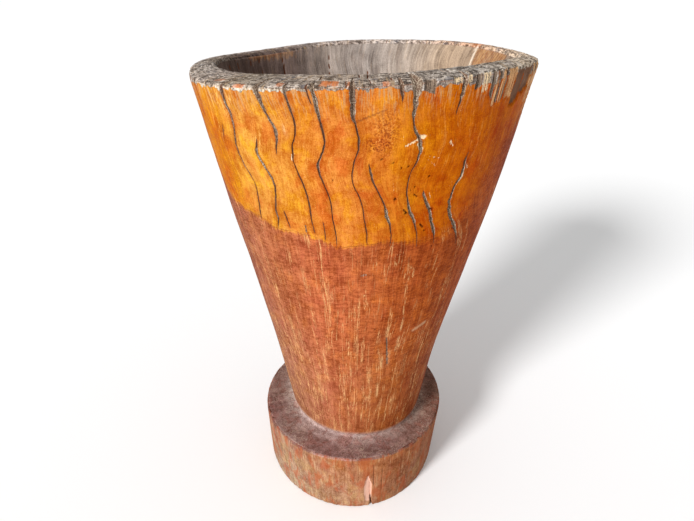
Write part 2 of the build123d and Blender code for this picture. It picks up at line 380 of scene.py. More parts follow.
def quad(p, q, r, s):
    """Rounded corner: a curve from p to r pulled towards q."""
    return tuple((1 - s) ** 2 * a + 2 * s * (1 - s) * b + s * s * c for a, b, c in zip(p, q, r))


for k, (zone, v, stride) in enumerate(rows):
    if zone in ("low", "high"):
        t = tb * (0.012 + .988 * v) if zone == "low" else tb + (0.994 - tb) * v
    elif zone in ("under", "baseedge", "foot", "ledgeedge", "ledge", "waist"):
        t = np.zeros(N)
    else:
        t = np.ones(N)
    if zone in ("bowl",):
        t = np.clip(1 - v * (RIM_H - BOWL_H) / (RIM_H - LEDGE_H), 0, 1) * np.ones(N)
    if zone == "bottom":
        t = np.full(N, .3)
    phi = U + grain_shift(U, t)
    a = np.radians(phi)
    PHI[k] = phi
    T[k] = t
    ca, sa = np.cos(a), np.sin(a)
    rf = FOOT_R + wave(FOOT_W, a)
    rl = LEDGE_R + wave(LEDGE_W, a)
    rw = WAIST_R + wave(WAIST_W, a)

    def pol(r, z):
        return r * ca, r * sa, z + 0 * a

    def foot(s):
        return pol(rf + (rl - rf) * s, LEDGE_H * s)

    def ledge(s):      # 0 at the outer edge, 1 at the vessel
        return pol(rl + (rw - rl) * s, LEDGE_H - 1.2 * np.sin(np.pi * s) + 0 * a)

    ri = MOUTH_R + wave(MOUTH_W, a)
    ro = RIM_R + wave(RIM_W, a)
    zr = rim_height(a)

    def top(s):        # 0 at the outer edge, 1 at the mouth
        r = ro + (ri - ro) * s
        return pol(r, zr + CROWN * np.minimum(s * 1.15, 1) + .7 * np.sin(np.pi * s))

    def bowl(s):       # s from the mouth down to the round bottom
        z = (zr + CROWN) * (1 - s) + BOWL_H * s
        zz = (RIM_H + CROWN) * (1 - s) + BOWL_H * s
        return pol(bowl_radius(a, zz), z)

    sq = (round_trip(heart_top, phi) - ro) / (ri - ro)     # where the boundary crosses the rim
    if zone == "under":
        p = pol(rf * v, 1.0 * (1 - v * v) * np.ones(N))
    elif zone == "baseedge":
        p = quad(pol(rf * .985, 0.0), pol(rf, 0.0), foot(.022), v)
    elif zone == "foot":
        p = foot(v)
    elif zone == "ledgeedge":
        p = quad(foot(.975), foot(1.0), ledge(.06), v)
    elif zone == "ledge":
        p = ledge(.06 + (v - .06) * 1.0)
    elif zone == "waist":
        p = quad(ledge(.91), ledge(1.0), cone(a, np.full(N, .008)), v)
    elif zone in ("low", "high"):
        p = cone(a, t)
    elif zone == "rimedge":
        p = quad(cone(a, np.full(N, .994)), cone(a, np.full(N, 1.0)), top(.075 * np.ones(N)), v)
    elif zone == "top":
        p = top(.075 + (sq - .075) * v)
    elif zone == "top2":
        p = top(sq + (.90 - sq) * v)
    elif zone == "mouthedge":
        p = quad(top(.90), top(1.0), bowl(.012 * np.ones(N)), v)
    elif zone == "bowl":
        p = bowl(.012 + .988 * v)
    else:
        ang = (math.pi / 2 - slope) * (1 - v)
        p = pol(BOTTOM_R * math.sin(ang) * (BOWL_R / (BOTTOM_R * math.cos(slope))) ** (1 - v),
                BOTTOM_Z - BOTTOM_R * math.cos(ang))
    X[k], Y[k], Z[k] = p

# profile length, for streaks that run along the profile everywhere
ds = np.sqrt(np.diff(X, axis=0) ** 2 + np.diff(Y, axis=0) ** 2 + np.diff(Z, axis=0) ** 2)
S = np.vstack([np.zeros(N), np.cumsum(ds, axis=0)])

# outward normals of the undisturbed surface
P = np.stack([X, Y, Z], -1)
du = np.roll(P, -1, axis=1) - np.roll(P, 1, axis=1)
dv = np.gradient(P, axis=0)
NRM = np.cross(du, dv)
NRM /= np.linalg.norm(NRM, axis=2)[..., None] + 1e-12

# ------------------------------------------------------------------ used vertices
used = np.zeros((M, N), bool)
for k, (zone, v, stride) in enumerate(rows):
    used[k, ::stride] = True
index = -np.ones((M, N), int)
index[used] = np.arange(used.sum())
kk, cc = np.nonzero(used)
p0 = P[kk, cc]
nr = NRM[kk, cc]
phi = ((PHI[kk, cc] + 180) % 360) - 180
t = T[kk, cc]
u = U[cc]
s_len = S[kk, cc]
zones = np.array([r[0] for r in rows])
zn = zones[kk]
par = np.array([r[1] for r in rows])[kk]
rad = np.hypot(p0[:, 0], p0[:, 1])
print("vertices", len(p0))

outer = np.isin(zn, ["low", "high"])
is_top = np.isin(zn, ["top", "top2", "rimedge", "mouthedge"])
is_bowl = np.isin(zn, ["bowl", "bottom"])
is_foot = np.isin(zn, ["foot", "baseedge", "ledgeedge"])
is_ledge = np.isin(zn, ["ledge", "waist"])
is_under = zn == "under"

ur = np.radians(u)
grain = np.stack([205 * np.cos(ur), 205 * np.sin(ur), s_len], -1)      # runs with the fibres
world = p0


def nz(p, scale, seed, octaves=1, mask=None, gain=.5):
    """Noise at points p divided by scale (mm, one or three numbers), only where mask is."""
    q = np.asarray(p) / np.asarray(scale, float)
    if mask is None:
        return noise(q, seed, octaves, gain)
    out = np.zeros(len(q))
    if mask.any():
        out[mask] = noise(q[mask], seed, octaves, gain)
    return out


disp = np.zeros(len(p0))          # along the normal, mm
crack = np.zeros(len(p0))         # 0..1, how deep in a check
pale = np.zeros(len(p0))          # paleness of the wood in the check
halo = np.zeros(len(p0))          # stained wood beside a check

# broad hewn unevenness
disp += 0.55 * nz(world, 70, 1, 2) * (outer | is_foot)
disp += 0.22 * nz(world, (16, 16, 30), 2, 2) * (outer | is_foot | is_bowl)
disp += 0.10 * nz(grain, (2.2, 2.2, 40), 3, 2, mask=(outer | is_foot | is_bowl))
disp += 0.9 * nz(world, 45, 4, 2) * is_bowl
disp += 0.55 * nz(world, 14, 5, 2) * is_ledge + .25 * nz(world, 4, 6, 2) * is_ledge

# checks in the outer wall and across the rim
for name, pts, top_t, low_t, ws, pl in CHECKS:
    in_rows = outer | (is_top & (top_t > 1))
    sel = np.nonzero(in_rows)[0]
    path = line_at(pts, np.clip(t[sel], .6, 1))
    dd = ((phi[sel] - path + 180) % 360) - 180
    near = np.abs(dd) < 3.5
    sel, dd = sel[near], dd[near]
    d = dd * math.pi / 180 * rad[sel]
    w = width_at(ws, np.minimum(t[sel], 1.0))
    ends = step(t[sel], low_t, low_t + .012) * (1 if top_t > 1 else step(top_t - t[sel], 0, .012))
    jag = 1 + .75 * noise(np.stack([t[sel] * 520 / 5.0, np.full(len(sel), len(name) * 7.1 + pts[0][0]),
                                    np.sign(d) * 3.3], -1), 11, 2)
    reach = np.ones(len(sel))
    tsel = is_top[sel]
    if tsel.any():         # a check runs on across the rim's top and dies out
        reach_mm = 5 + 2.6 * max(q[1] for q in ws)
        inward = (RIM_R + wave(RIM_W, np.radians(phi[sel]))) - rad[sel]
        reach[tsel] = np.clip(1 - inward[tsel] / reach_mm, 0, 1)
    half = w * (.36 + .20 * step(w, 1.6, 3.4)) * np.maximum(jag, .25) * np.sqrt(reach) * ends ** .5
    x = np.abs(d) / np.maximum(half, .05)
    prof = np.clip(1 - x, 0, 1)
    deep = np.minimum(w * .62 + .4, 3.4) * ends * (.4 + .6 * reach)
    disp[sel] -= deep * prof ** .85
    crack[sel] = np.maximum(crack[sel], step(1 - x, -.25, .45) * ends * np.sqrt(reach))
    pale[sel] = np.where(x < 1.6, np.clip(pl + .25, 0, 1) * (.12 + .88 * step(w, 1.9, 3.3)), pale[sel])
    halo[sel] = np.maximum(halo[sel], np.exp(-np.maximum(np.abs(d) - half, 0) / 1.8) * ends * .9)

# stain lines that carry on below some checks, without an opening
for name, frm, to, wd, st in (("d3", .745, .684, 1.6, .5), ("g2", .745, .60, 2.4, .55), ("f2", .68, .60, 2.2, .35),
                              ("g", .66, .57, 2.4, .3), ("h", .66, .56, 3.0, .35), ("i", .64, .55, 3.0, .4),
                              ("d", .67, .60, 2.0, .35), ("e", .68, .62, 2.2, .3), ("j", .93, .68, 2.6, .35)):
    pts = [c for c in CHECKS if c[0] == name][0][1]
    sel = np.nonzero(outer)[0]
    dd = ((phi[sel] - line_at(pts, np.clip(t[sel], .6, 1)) + 180) % 360) - 180
    d = dd * math.pi / 180 * rad[sel]
    m = np.exp(-(d / wd) ** 2) * step(t[sel], to, to + .03) * step(frm - t[sel], 0, .02) * st
    halo[sel] = np.maximum(halo[sel], m)


def near_point(p_deg, t0, across, along, tilt=0.0):
    """Distance, in units of the given half sizes, from a spot on the outer wall."""
    dx = (((phi - p_deg + 180) % 360) - 180) * math.pi / 180 * rad
    dz = (t - t0) * 532.0
    c, s = math.cos(math.radians(tilt)), math.sin(math.radians(tilt))
    out = np.hypot((dx * c + dz * s) / across, (-dx * s + dz * c) / along)
    return np.where(outer, out, 99.0)


def near_line(p_deg, t0, q_deg, t1, half):
    """Distance from a short line on the outer wall, in units of half its width."""
    k = math.pi / 180 * (WAIST_R + (RIM_R - WAIST_R) * (t0 + t1) / 2)
    ax, az, bx, bz = p_deg * k, t0 * 532, q_deg * k, t1 * 532
    px, pz = phi * k, t * 532
    vx, vz = bx - ax, bz - az
    s = np.clip(((px - ax) * vx + (pz - az) * vz) / (vx * vx + vz * vz), 0, 1)
    out = np.hypot(px - ax - vx * s, pz - az - vz * s) / half
    return np.where(outer, out, 99.0)


cream = np.zeros(len(p0))
dark = np.zeros(len(p0))
slate = np.zeros(len(p0))
hole = np.zeros(len(p0))
panel_brown = np.zeros(len(p0))
tanw = np.zeros(len(p0))
scar = np.zeros(len(p0))

# insect holes
HOLES = [(-78.1, .782, 2.0, 2.2), (-75.2, .848, 1.2, 1.1), (-72.1, .788, 1.5, 1.4), (-71.4, .785, 1.2, 1.3),
         (-79.9, .858, 1.3, 1.2), (-83.0, .867, 1.1, 1.1), (-74.0, .748, 2.4, 1.6), (-65.4, .749, 3.0, 1.7),
         (-73.6, .80, .9, .9), (-72.4, .806, .9, .8), (-66.4, .70, 1.6, .9), (-69.0, .772, .8, .8),
         (-86.9, .763, .9, .8), (-97.2, .828, .9, 1.0), (-53.6, .688, 3.6, 1.4), (-77.2, .846, .8, .8),
         (-68.3, .823, 1.6, 1.2), (-80.3, .43, .9, .9), (-84.5, .32, 1.2, 1.0), (-61.5, .655, 1.2, 1.0)]
rng = np.random.RandomState(21)
for _ in range(16):
    HOLES.append((rng.uniform(-20, 205), rng.uniform(.45, .9), rng.uniform(.9, 1.8), rng.uniform(.9, 1.7)))
for hp, ht, ha, hb in HOLES:
    q = near_point(hp, ht, ha * .72, hb * .72)
    disp -= 2.2 * np.clip(1.15 - q, 0, 1) ** .6 * (q < 1.15)
    hole = np.maximum(hole, step(1.35 - q, 0, .6))
q = near_line(-68.4, .718, -67.2, .710, .9)
disp -= 2.2 * np.clip(1 - q, 0, 1)
hole = np.maximum(hole, step(1.3 - q, 0, .5))
q = near_line(-75.0, .757, -73.8, .749, .8)
disp -= 1.8 * np.clip(1 - q, 0, 1)
hole = np.maximum(hole, step(1.3 - q, 0, .5))

# fresh chips, pale inside
for p1, t1, p2, t2, half, depth in ((-73.0, .901, -71.8, .903, 2.3, 1.2), (-72.8, .889, -72.1, .880, 2.2, 1.0),
                                    (-76.6, .888, -73.4, .898, 1.0, .6), (-69.6, .858, -67.0, .843, .45, .3),
                                    (-70.6, .866, -66.4, .858, .45, .3), (-67.6, .79, -66.4, .776, .6, .3),
                                    (-55.5, .833, -54.9, .824, 1.2, .5), (-63.4, .886, -62.6, .878, 1.3, .4),
                                    (-108.4, .878, -108.9, .868, 1.3, .5), (-91.6, .953, -90.6, .965, .6, .1)):
    q = near_line(p1, t1, p2, t2, half)
    q = q + .35 * nz(world, 1.7, 31, 2, mask=q < 3)
    disp -= depth * np.clip(1.2 - q, 0, 1) ** .7 * (q < 1.2)
    cream = np.maximum(cream, step(1.25 - q, 0, .45) * (.62 if depth <= .5 else 1.0))
# long thin scratch
q = near_line(-90.3, .938, -82.5, .957, .8)
dark = np.maximum(dark, .75 * step(1.4 - q, 0, 1))
q = near_line(-59.0, .402, -52.5, .413, 3.0)
smear = .6 * step(1.25 - q - .5 * nz(world, 2.5, 32, 2, mask=q < 3), 0, .8)

# flaked strips below the rim at the right, and a few round the back
PANELS = [(-59.3, -57.1, .974, .977, 2.2, "slate"), (-57.0, -54.5, .966, .970, 1.0, "cream"),
          (-53.7, -52.2, .960, .950, 2.4, "slate"), (-52.0, -50.9, .938, .934, .9, "tan"),
          (-50.7, -49.7, .945, .942, 2.6, "slate"), (-49.5, -48.2, .940, .936, .8, "tan"),
          (-48.1, -47.4, .945, .948, 2.6, "slate"), (-47.1, -42.9, .950, .944, 1.2, "tan"),
          (-42.5, -37.2, .930, .938, 5.6, "brown"), (-37.0, -30.5, .948, .958, 4.4, "brown"),
          (-30.2, -27.8, .922, .930, .7, "tan"), (-27.5, -24.8, .898, .904, .8, "tan"),
          (-24.4, -21.6, .874, .880, .7, "tan"), (-21.2, -18.2, .866, .878, .8, "tan"),
          (-17.9, -14.6, .892, .902, .7, "tan"), (-14.2, -10.2, .930, .938, .7, "tan"),
          (-29.6, -26.0, .985, .983, .8, "cream"), (-65.8, -63.4, .990, .988, 1.2, "cream"),
          (-61.9, -60.6, .984, .986, .8, "cream"), (-73.4, -70.6, .984, .974, 1.4, "slate"),
          (-27.0, -23.5, .955, .95, 2.0, "slate"), (-19.0, -12.0, .965, .955, 1.2, "cream"),
          (14, 19, .95, .96, 3.0, "slate"), (24, 33, .962, .955, 1.4, "cream"), (58, 61, .97, .965, 2.2, "slate"),
          (86, 95, .975, .968, 1.2, "cream"), (121, 124, .955, .96, 2.4, "slate"), (148, 155, .978, .97, 1.0, "cream"),
          (172, 175, .975, .98, 2.0, "slate")]
for a0, a1, l0, l1, depth, kind in PANELS:
    dx = ((phi - a0 + 180) % 360) - 180
    s = np.clip(dx / (a1 - a0), 0, 1)
    ragged = (.0035 if kind in ("slate", "cream") else .012) * nz(grain, (2.6, 2.6, 400), 33, 2, mask=outer & (t > .8))
    low = l0 + (l1 - l0) * s + ragged
    e = .22
    side = step(dx, -e, e) * step(a1 - a0 - dx, -e, e) * (dx > -2) * (dx < a1 - a0 + 2)
    up = np.where(outer, step(t, low - .004, low + .003), np.where(is_top & (zn == "rimedge"), 1.0, 0.0))
    m = side * up
    disp -= depth * m * (.75 + .35 * nz(grain, (3, 3, 60), 34, 1, mask=m > 0))
    if kind == "slate":
        slate = np.maximum(slate, m)
    elif kind == "cream":
        cream = np.maximum(cream, m * .74)
    elif kind == "tan":
        tanw = np.maximum(tanw, m * .85)
    else:
        panel_brown = np.maximum(panel_brown, m)
        # the panel bites the rim's top too
        bite = side * np.where(is_top, np.clip(1 - (RIM_R + wave(RIM_W, np.radians(phi)) - rad) / 7.5, 0, 1), 0)
        disp -= 3.0 * bite

# the rim's outer edge is worn and slightly chipped
corner = np.zeros(len(p0))
corner[outer] = np.exp(-((1 - t[outer]) * 532 / 3.6) ** 2)
inw = RIM_R + wave(RIM_W, np.radians(phi)) - rad
corner[is_top] = np.exp(-(np.maximum(inw[is_top], 0) / 4.0) ** 2)
chips = nz(grain * [1, 1, 0], 5.0, 41, 2) + .6 * nz(grain * [1, 1, 0], 17.0, 42, 1)
disp -= corner * (.9 + 1.6 * np.clip(chips, 0, 1.2))
# the inner edge is worn round by the pestle
ri_here = MOUTH_R + wave(MOUTH_W, np.radians(phi))
inner = np.zeros(len(p0))
inner[is_top] = np.exp(-(np.maximum(rad[is_top] - ri_here[is_top], 0) / 7.0) ** 2)
inner[zn == "bowl"] = np.exp(-(par[zn == "bowl"] * 346 / 9.0) ** 2)
disp -= inner * (1.0 + 1.3 * nz(grain * [1, 1, 0], 22.0, 43, 2))
# at the back left the inner lip is worn down further; on the rim's top this mask also lays painted shade, the darkened
# interior colour, on the worn lip
back_left = step(34 - np.abs(((phi - 140 + 180) % 360) - 180), 0, 14)
worn_lip_painted_shade = np.where(is_top, back_left * step(1 - (rad - ri_here) / 24.0, .25, .55), 0)
disp -= 2.2 * worn_lip_painted_shade

# the rim's top: rings worn into it and radial checks
disp += is_top * (.30 * nz(np.stack([grain[:, 0] / 14, grain[:, 1] / 14, rad / 1.9], -1), 1, 44, 2, mask=is_top)
                  + .5 * nz(world, 9, 45, 2, mask=is_top))
rng = np.random.RandomState(5)
for _ in range(72):
    c0 = rng.uniform(-180, 180)
    r_hi = RIM_R - rng.uniform(-2, 22)
    r_lo = r_hi - rng.uniform(5, 24)
    wd = rng.uniform(.4, 1.05)
    wig = rng.uniform(-.35, .35)
    sel = np.nonzero(is_top & (np.abs(((phi - c0 + 180) % 360) - 180) < 1.5))[0]
    d = (((phi[sel] - c0 - wig * (rad[sel] - r_lo) / 12 + 180) % 360) - 180) * math.pi / 180 * rad[sel]
    m = np.clip(1 - np.abs(d) / wd, 0, 1) * step(rad[sel], r_lo, r_lo + 4) * step(r_hi - rad[sel], -1, 3)
    disp[sel] -= 1.6 * m
    crack[sel] = np.maximum(crack[sel], .8 * step(m, .1, .7))

# inside: fibres, old pounding marks low down
depth_in = np.where(is_bowl, (RIM_H + CROWN - p0[:, 2]), 0)
disp += is_bowl * .35 * nz(grain, (3.4, 3.4, 70), 46, 2, mask=is_bowl) * step(300 - depth_in, 0, 120)
rng = np.random.RandomState(9)
for _ in range(26):
    c0 = rng.uniform(-180, 180)
    top_z = RIM_H - rng.uniform(-6, 60)
    low_z = top_z - rng.uniform(30, 150)
    wd = rng.uniform(.8, 1.8)
    sel = np.nonzero(is_bowl & (np.abs(((phi - c0 + 180) % 360) - 180) < 3))[0]
    d = (((phi[sel] - c0 + 180) % 360) - 180) * math.pi / 180 * rad[sel]
    m = np.clip(1 - np.abs(d) / wd, 0, 1) * step(p0[sel, 2], low_z, low_z + 15) * step(top_z - p0[sel, 2], -2, 12)
    disp[sel] -= 2.2 * m
    crack[sel] = np.maximum(crack[sel], .9 * step(m, .1, .7))

# foot: chip beside a short split, worn edges, fine checks
fz = p0[:, 2]
fx = (phi + 81.0) * math.pi / 180 * rad
leaf = np.clip((fz - 12) / 64, 0, 1)
left = -7.0 * np.sin(np.pi * np.clip(leaf * .85 + .12, 0, 1)) ** .7 + 1.0 * leaf
right = 5.2 - 6.2 * step(leaf, .55, 1.0)
inleaf = step(fx - left, -.6, .9) * step(right - fx, -.4, .5) * step(fz, 8, 16) * step(78 - fz, 0, 8) * is_foot
inleaf = np.clip(inleaf, 0, 1)
disp -= inleaf * (1.4 + 2.4 * np.clip((fx + 7) / 12, 0, 1))
scar = np.maximum(scar, inleaf)
sx = fx - (5.0 - .05 * fz)
swd = np.interp(fz, [0, 10, 22, 62, 78], [2.6, 1.7, .9, .8, .3])
sm = np.clip(1 - np.abs(sx) / swd, 0, 1) * (fz < 80) * (is_foot | (is_under & (par > .9))) * np.interp(fz, [17, 25], [1, .3])
disp -= sm * np.interp(fz, [0, 12, 25, 80], [9, 6, 3.2, 1.2]) * is_foot
crack = np.maximum(crack, step(sm, .05, .6) * is_foot)
rng = np.random.RandomState(12)
for _ in range(34):
    c0 = rng.uniform(-180, 180)
    z0 = rng.uniform(0, 70)
    z1 = z0 + rng.uniform(14, 60)
    wd = rng.uniform(.6, 1.2)
    bend = rng.uniform(-.02, .02)
    d = (((phi - c0 + 180) % 360) - 180) * math.pi / 180 * rad - bend * (fz - z0)
    m = np.clip(1 - np.abs(d) / wd, 0, 1) * step(fz, z0, z0 + 8) * step(z1 - fz, 0, 8) * is_foot
    disp -= .9 * m
    crack = np.maximum(crack, .55 * step(m, .1, .8))
q = np.abs(phi + 90.5) * math.pi / 180 * rad
m = np.clip(1 - q / 1.3, 0, 1) * (is_foot & (fz > 98)) + np.clip(1 - q / 1.3, 0, 1) * (is_ledge & (rad > 138))
disp -= 1.4 * m
crack = np.maximum(crack, .5 * step(m, .1, .7))
lip = np.zeros(len(p0))
lip[is_foot] = np.exp(-((LEDGE_H - fz[is_foot]) / 3.2) ** 2)
lip[is_ledge] = np.exp(-((LEDGE_R + wave(LEDGE_W, np.radians(phi[is_ledge])) - rad[is_ledge]) / 4.0) ** 2)
disp -= lip * (.5 + 1.3 * np.clip(nz(grain * [1, 1, 0], 11.0, 47, 2), -.2, 1))
hem = is_foot * np.exp(-(fz / 4.0) ** 2)
disp -= hem * (.6 + 1.2 * np.clip(nz(grain * [1, 1, 0], 9.0, 48, 2), -.2, 1))

# small open checks and dents in the lower vessel
for p1, t1, p2, t2, half, depth, what in (
        (-73.6, .395, -72.4, .355, 1.1, 1.2, "crack"), (-72.4, .355, -70.6, .300, 1.3, 1.4, "crack"),
        (-99.6, .52, -99.2, .43, .8, .5, "halo"), (-88.0, .598, -86.4, .600, 2.2, 1.0, "slate"),
        (-107.6, .725, -107.5, .709, .9, .8, "crack"), (-100.9, .66, -100.6, .63, .7, .4, "halo")):
    q = near_line(p1, t1, p2, t2, half)
    m = np.clip(1 - q, 0, 1)
    disp -= depth * m
    if what == "crack":
        crack = np.maximum(crack, step(1.2 - q, 0, .6))
        pale = np.where(q < 1.3, .35, pale)
    elif what == "slate":
        slate = np.maximum(slate, .55 * step(1.4 - q, 0, .9))
    else:
        halo = np.maximum(halo, .6 * step(1.6 - q, 0, 1.0))

# pale drawn streaks in the lower vessel: (angle, top, bottom, half width, strength)
streak = np.zeros(len(p0))
STREAKS = [(-67.1, .47, .405, 1.5, .9), (-66.7, .40, .335, 2.0, 1.0), (-65.8, .375, .34, 1.0, .6), (-73.8, .445, .385, 2.0, .75),
           (-74.4, .335, .275, 2.2, 1.0), (-75.6, .31, .27, 1.0, .8), (-74.9, .235, .165, 1.9, .8), (-85.0, .228, .195, 1.6, .6),
           (-82.0, .185, .155, 1.8, .9), (-66.4, .51, .492, 1.2, .7), (-62.3, .51, .495, 1.2, .7), (-84.6, .418, .408, 1.8, .9),
           (-100.4, .555, .50, 1.4, .5), (-101.6, .60, .47, 1.0, .35), (-104.0, .60, .50, 1.0, .35), (-112.0, .62, .53, 1.2, .4),
           (-117.0, .54, .47, 1.2, .4), (-125.6, .45, .31, 3.0, .35), (-121.0, .41, .30, 2.6, .35), (-107.5, .37, .22, 1.8, .35),
           (-113.6, .26, .12, 3.0, .35), (-70.5, .36, .28, 1.2, .4), (-60.2, .33, .23, 1.4, .35), (-57.0, .47, .40, 1.2, .3),
           (-88.8, .46, .33, 1.2, .4), (-92.0, .36, .24, 1.2, .3), (-96.5, .28, .14, 1.6, .35), (-80.6, .30, .20, 1.2, .5),
           (-79.2, .23, .13, 1.4, .4), (-77.0, .42, .36, 1.0, .4), (-71.6, .17, .10, 1.6, .4), (-110.2, .975, .955, 1.6, .5),
           (-109.6, .94, .905, 1.9, .65), (-107.6, .996, .984, 3.5, .8), (-111.6, .93, .915, 1.5, .4), (-118.0, .985, .965, 2.0, .35)]
rng = np.random.RandomState(3)
for _ in range(70):
    a0, t0 = rng.uniform(-25, 210), rng.uniform(.08, .6)
    STREAKS.append((a0, t0 + rng.uniform(.02, .1), t0, rng.uniform(.8, 2.2), rng.uniform(.2, .7)))
for a0, hi, lo, half, st in STREAKS:
    drift = (((phi - a0 + 180) % 360) - 180) * math.pi / 180 * rad
    near = outer & (np.abs(drift) < half * 4 + 6) & (t > lo - .02) & (t < hi + .02)
    if near.any():
        s = np.nonzero(near)[0]
        wob = 1.2 * noise(np.stack([t[s] * 532 / 12, np.full(len(s), a0), np.zeros(len(s))], -1), 51)
        m = np.exp(-((drift[s] + wob) / half) ** 2) * step(t[s], lo, lo + .02) * step(hi - t[s], 0, .015) * st
        streak[s] = np.maximum(streak[s], m)

print("displaced", round(float(disp.min()), 2), round(float(disp.max()), 2))
disp = np.clip(disp, -10.5, 2.0)
# nothing may reach below the ground
final = p0 + nr * disp[:, None]
final[:, 2] = np.maximum(final[:, 2], 0.0)

# ------------------------------------------------------------------ colours of the woods
def lin(c):
    c = np.asarray(c, float) / 255.0
    return np.where(c <= 0.04045, c / 12.92, ((c + 0.055) / 1.055) ** 2.4)


def colour_round(table, d):
    """Periodic reading of a table of (angle, sRGB colour), as linear colour."""
    a = np.array([r[0] for r in table], float) % 360
    o = np.argsort(a)
    v = lin([table[i][1] for i in o])
    a = a[o]
    a = np.concatenate([[a[-1] - 360], a, [a[0] + 360]])
    v = np.concatenate([v[-1:], v, v[:1]])
    q = np.asarray(d, float) % 360
    return np.stack([np.interp(q, a, v[:, k]) for k in range(3)], -1)


SAP = [(-180, (214, 134, 30)), (-158, (218, 134, 6)), (-148, (222, 132, 10)), (-137, (226, 134, 24)), (-125, (226, 142, 62)),
       (-110, (222, 140, 62)), (-95, (222, 134, 64)), (-85, (214, 124, 56)), (-75, (206, 118, 42)),
       (-65, (204, 110, 26)), (-55, (200, 102, 28)), (-45, (196, 100, 40)), (-35, (190, 98, 48)),
       (-10, (200, 110, 45)), (40, (210, 122, 45)), (100, (214, 128, 48)), (150, (212, 126, 45))]
HEART_UP = [(-180, (176, 98, 66)), (-145, (180, 104, 74)), (-125, (196, 112, 70)), (-110, (196, 112, 74)),
            (-95, (194, 110, 72)), (-85, (188, 106, 62)), (-75, (182, 98, 52)), (-65, (182, 96, 46)),
            (-55, (178, 92, 44)), (-45, (178, 92, 46)), (-30, (172, 88, 50)), (40, (176, 94, 56)), (120, (178, 96, 60))]
HEART_LOW = [(-180, (176, 108, 82)), (-145, (180, 114, 84)), (-125, (190, 118, 84)), (-110, (188, 118, 86)),
             (-95, (184, 114, 80)), (-85, (180, 110, 74)), (-75, (178, 108, 66)), (-65, (174, 102, 58)),
             (-55, (170, 96, 54)), (-45, (168, 94, 56)), (-30, (162, 92, 60)), (40, (170, 98, 64)), (120, (172, 102, 70))]
FOOT_TOP = [(-180, (176, 124, 100)), (-140, (186, 132, 104)), (-115, (186, 130, 98)), (-95, (186, 128, 94)),
            (-78, (176, 112, 74)), (-60, (172, 108, 74)), (-40, (168, 108, 80)), (60, (170, 112, 84))]
FOOT_LOW = [(-180, (180, 136, 110)), (-140, (196, 150, 120)), (-125, (200, 156, 126)), (-110, (186, 144, 116)),
            (-92, (188, 146, 120)), (-80, (182, 132, 100)), (-70, (172, 118, 86)), (-50, (168, 122, 96)), (60, (174, 128, 102))]
LEDGE_IN = [(-180, (182, 160, 148)), (-120, (180, 154, 146)), (-90, (180, 154, 146)), (-60, (166, 138, 126)),
            (-30, (156, 130, 116)), (0, (150, 120, 104)), (90, (166, 140, 126))]
LEDGE_OUT = [(-180, (150, 120, 108)), (-165, (144, 108, 100)), (-140, (158, 130, 120)), (-105, (150, 116, 108)),
             (-75, (146, 116, 108)), (-50, (148, 112, 100)), (-20, (148, 110, 94)), (0, (138, 106, 90)), (90, (148, 116, 104))]
RIMTOP = [(-180, (150, 136, 124)), (-158, (172, 160, 150)), (-140, (160, 144, 132)), (-125, (158, 142, 124)),
          (-112, (158, 144, 132)), (-98, (164, 146, 130)), (-80, (152, 138, 126)), (-60, (156, 146, 136)),
          (-40, (166, 152, 136)), (-15, (190, 170, 148)), (10, (196, 170, 146)), (35, (190, 150, 122)),
          (70, (196, 180, 168)), (110, (180, 160, 148)), (150, (150, 130, 118))]
# the inside is darker on its left, from about 125 degrees round to 180, with painted shade for the bowl's shadowed left
# wall
INSIDE = [(-180, (128, 108, 98)), (150, (116, 96, 88)), (128, (136, 116, 108)), (105, (190, 174, 162)),
          (85, (198, 184, 174)), (65, (200, 182, 166)), (45, (206, 178, 150)), (20, (190, 164, 140)),
          (-20, (170, 150, 134)), (-90, (160, 142, 130))]
INSIDE_LOW = lin((138, 112, 92))
UNDER = lin((150, 122, 98))

n_v = len(p0)
col_a = np.zeros((n_v, 3))
low_mix = step(t, .10, .55)[:, None]
heart_c = (colour_round(HEART_LOW, phi) * (1 - low_mix) + colour_round(HEART_UP, phi) * low_mix) * (.745, .63, .53)
sap_c = colour_round(SAP, phi) * (.80, .765, .52)
# the front left, facing the lamp, is painted less red and bluer: a painted pale sheen of the lit side
lit_side_sheen = step(52 - np.abs(((phi + 150 + 180) % 360) - 180), 0, 34)[:, None]
heart_c = heart_c * (1 + lit_side_sheen * (-.20, .0, .26))
sap_c = sap_c * (1 + lit_side_sheen * (-.15, .01, .22)) * (1, 1.05, 1.18)
# towards the far left the colour is darkened with painted shade, the sapwood's green and blue most of all
far_left_painted_shade = step(32 - np.abs(((phi + 175 + 180) % 360) - 180), 0, 18)[:, None]
edge_left_painted_shade = step(49 - np.abs(((phi + 173 + 180) % 360) - 180), 0, 27)[:, None]
sap_c = sap_c * (1 - edge_left_painted_shade * (.13, .31, .90)) * (1 - far_left_painted_shade * (.16, .20, .50))
heart_c = heart_c * (1 - far_left_painted_shade * (.16, .18, .22))
# on the right, turned from the lamp, the sap loses most blue and some green: partly the wood's own redder tint, partly
# painted shade
shade_side_red_tint = step(66 - np.abs(((phi + 30 + 180) % 360) - 180), 0, 34)[:, None]
sap_c = sap_c * (1 - shade_side_red_tint * (.01, .10, .72))
col_b = heart_c.copy()
col_a = sap_c.copy()


def put(mask, c):
    col_a[mask] = c[mask] if np.ndim(c) == 2 else c
    col_b[mask] = c[mask] if np.ndim(c) == 2 else c


fm = step(fz, 10, 95)[:, None]
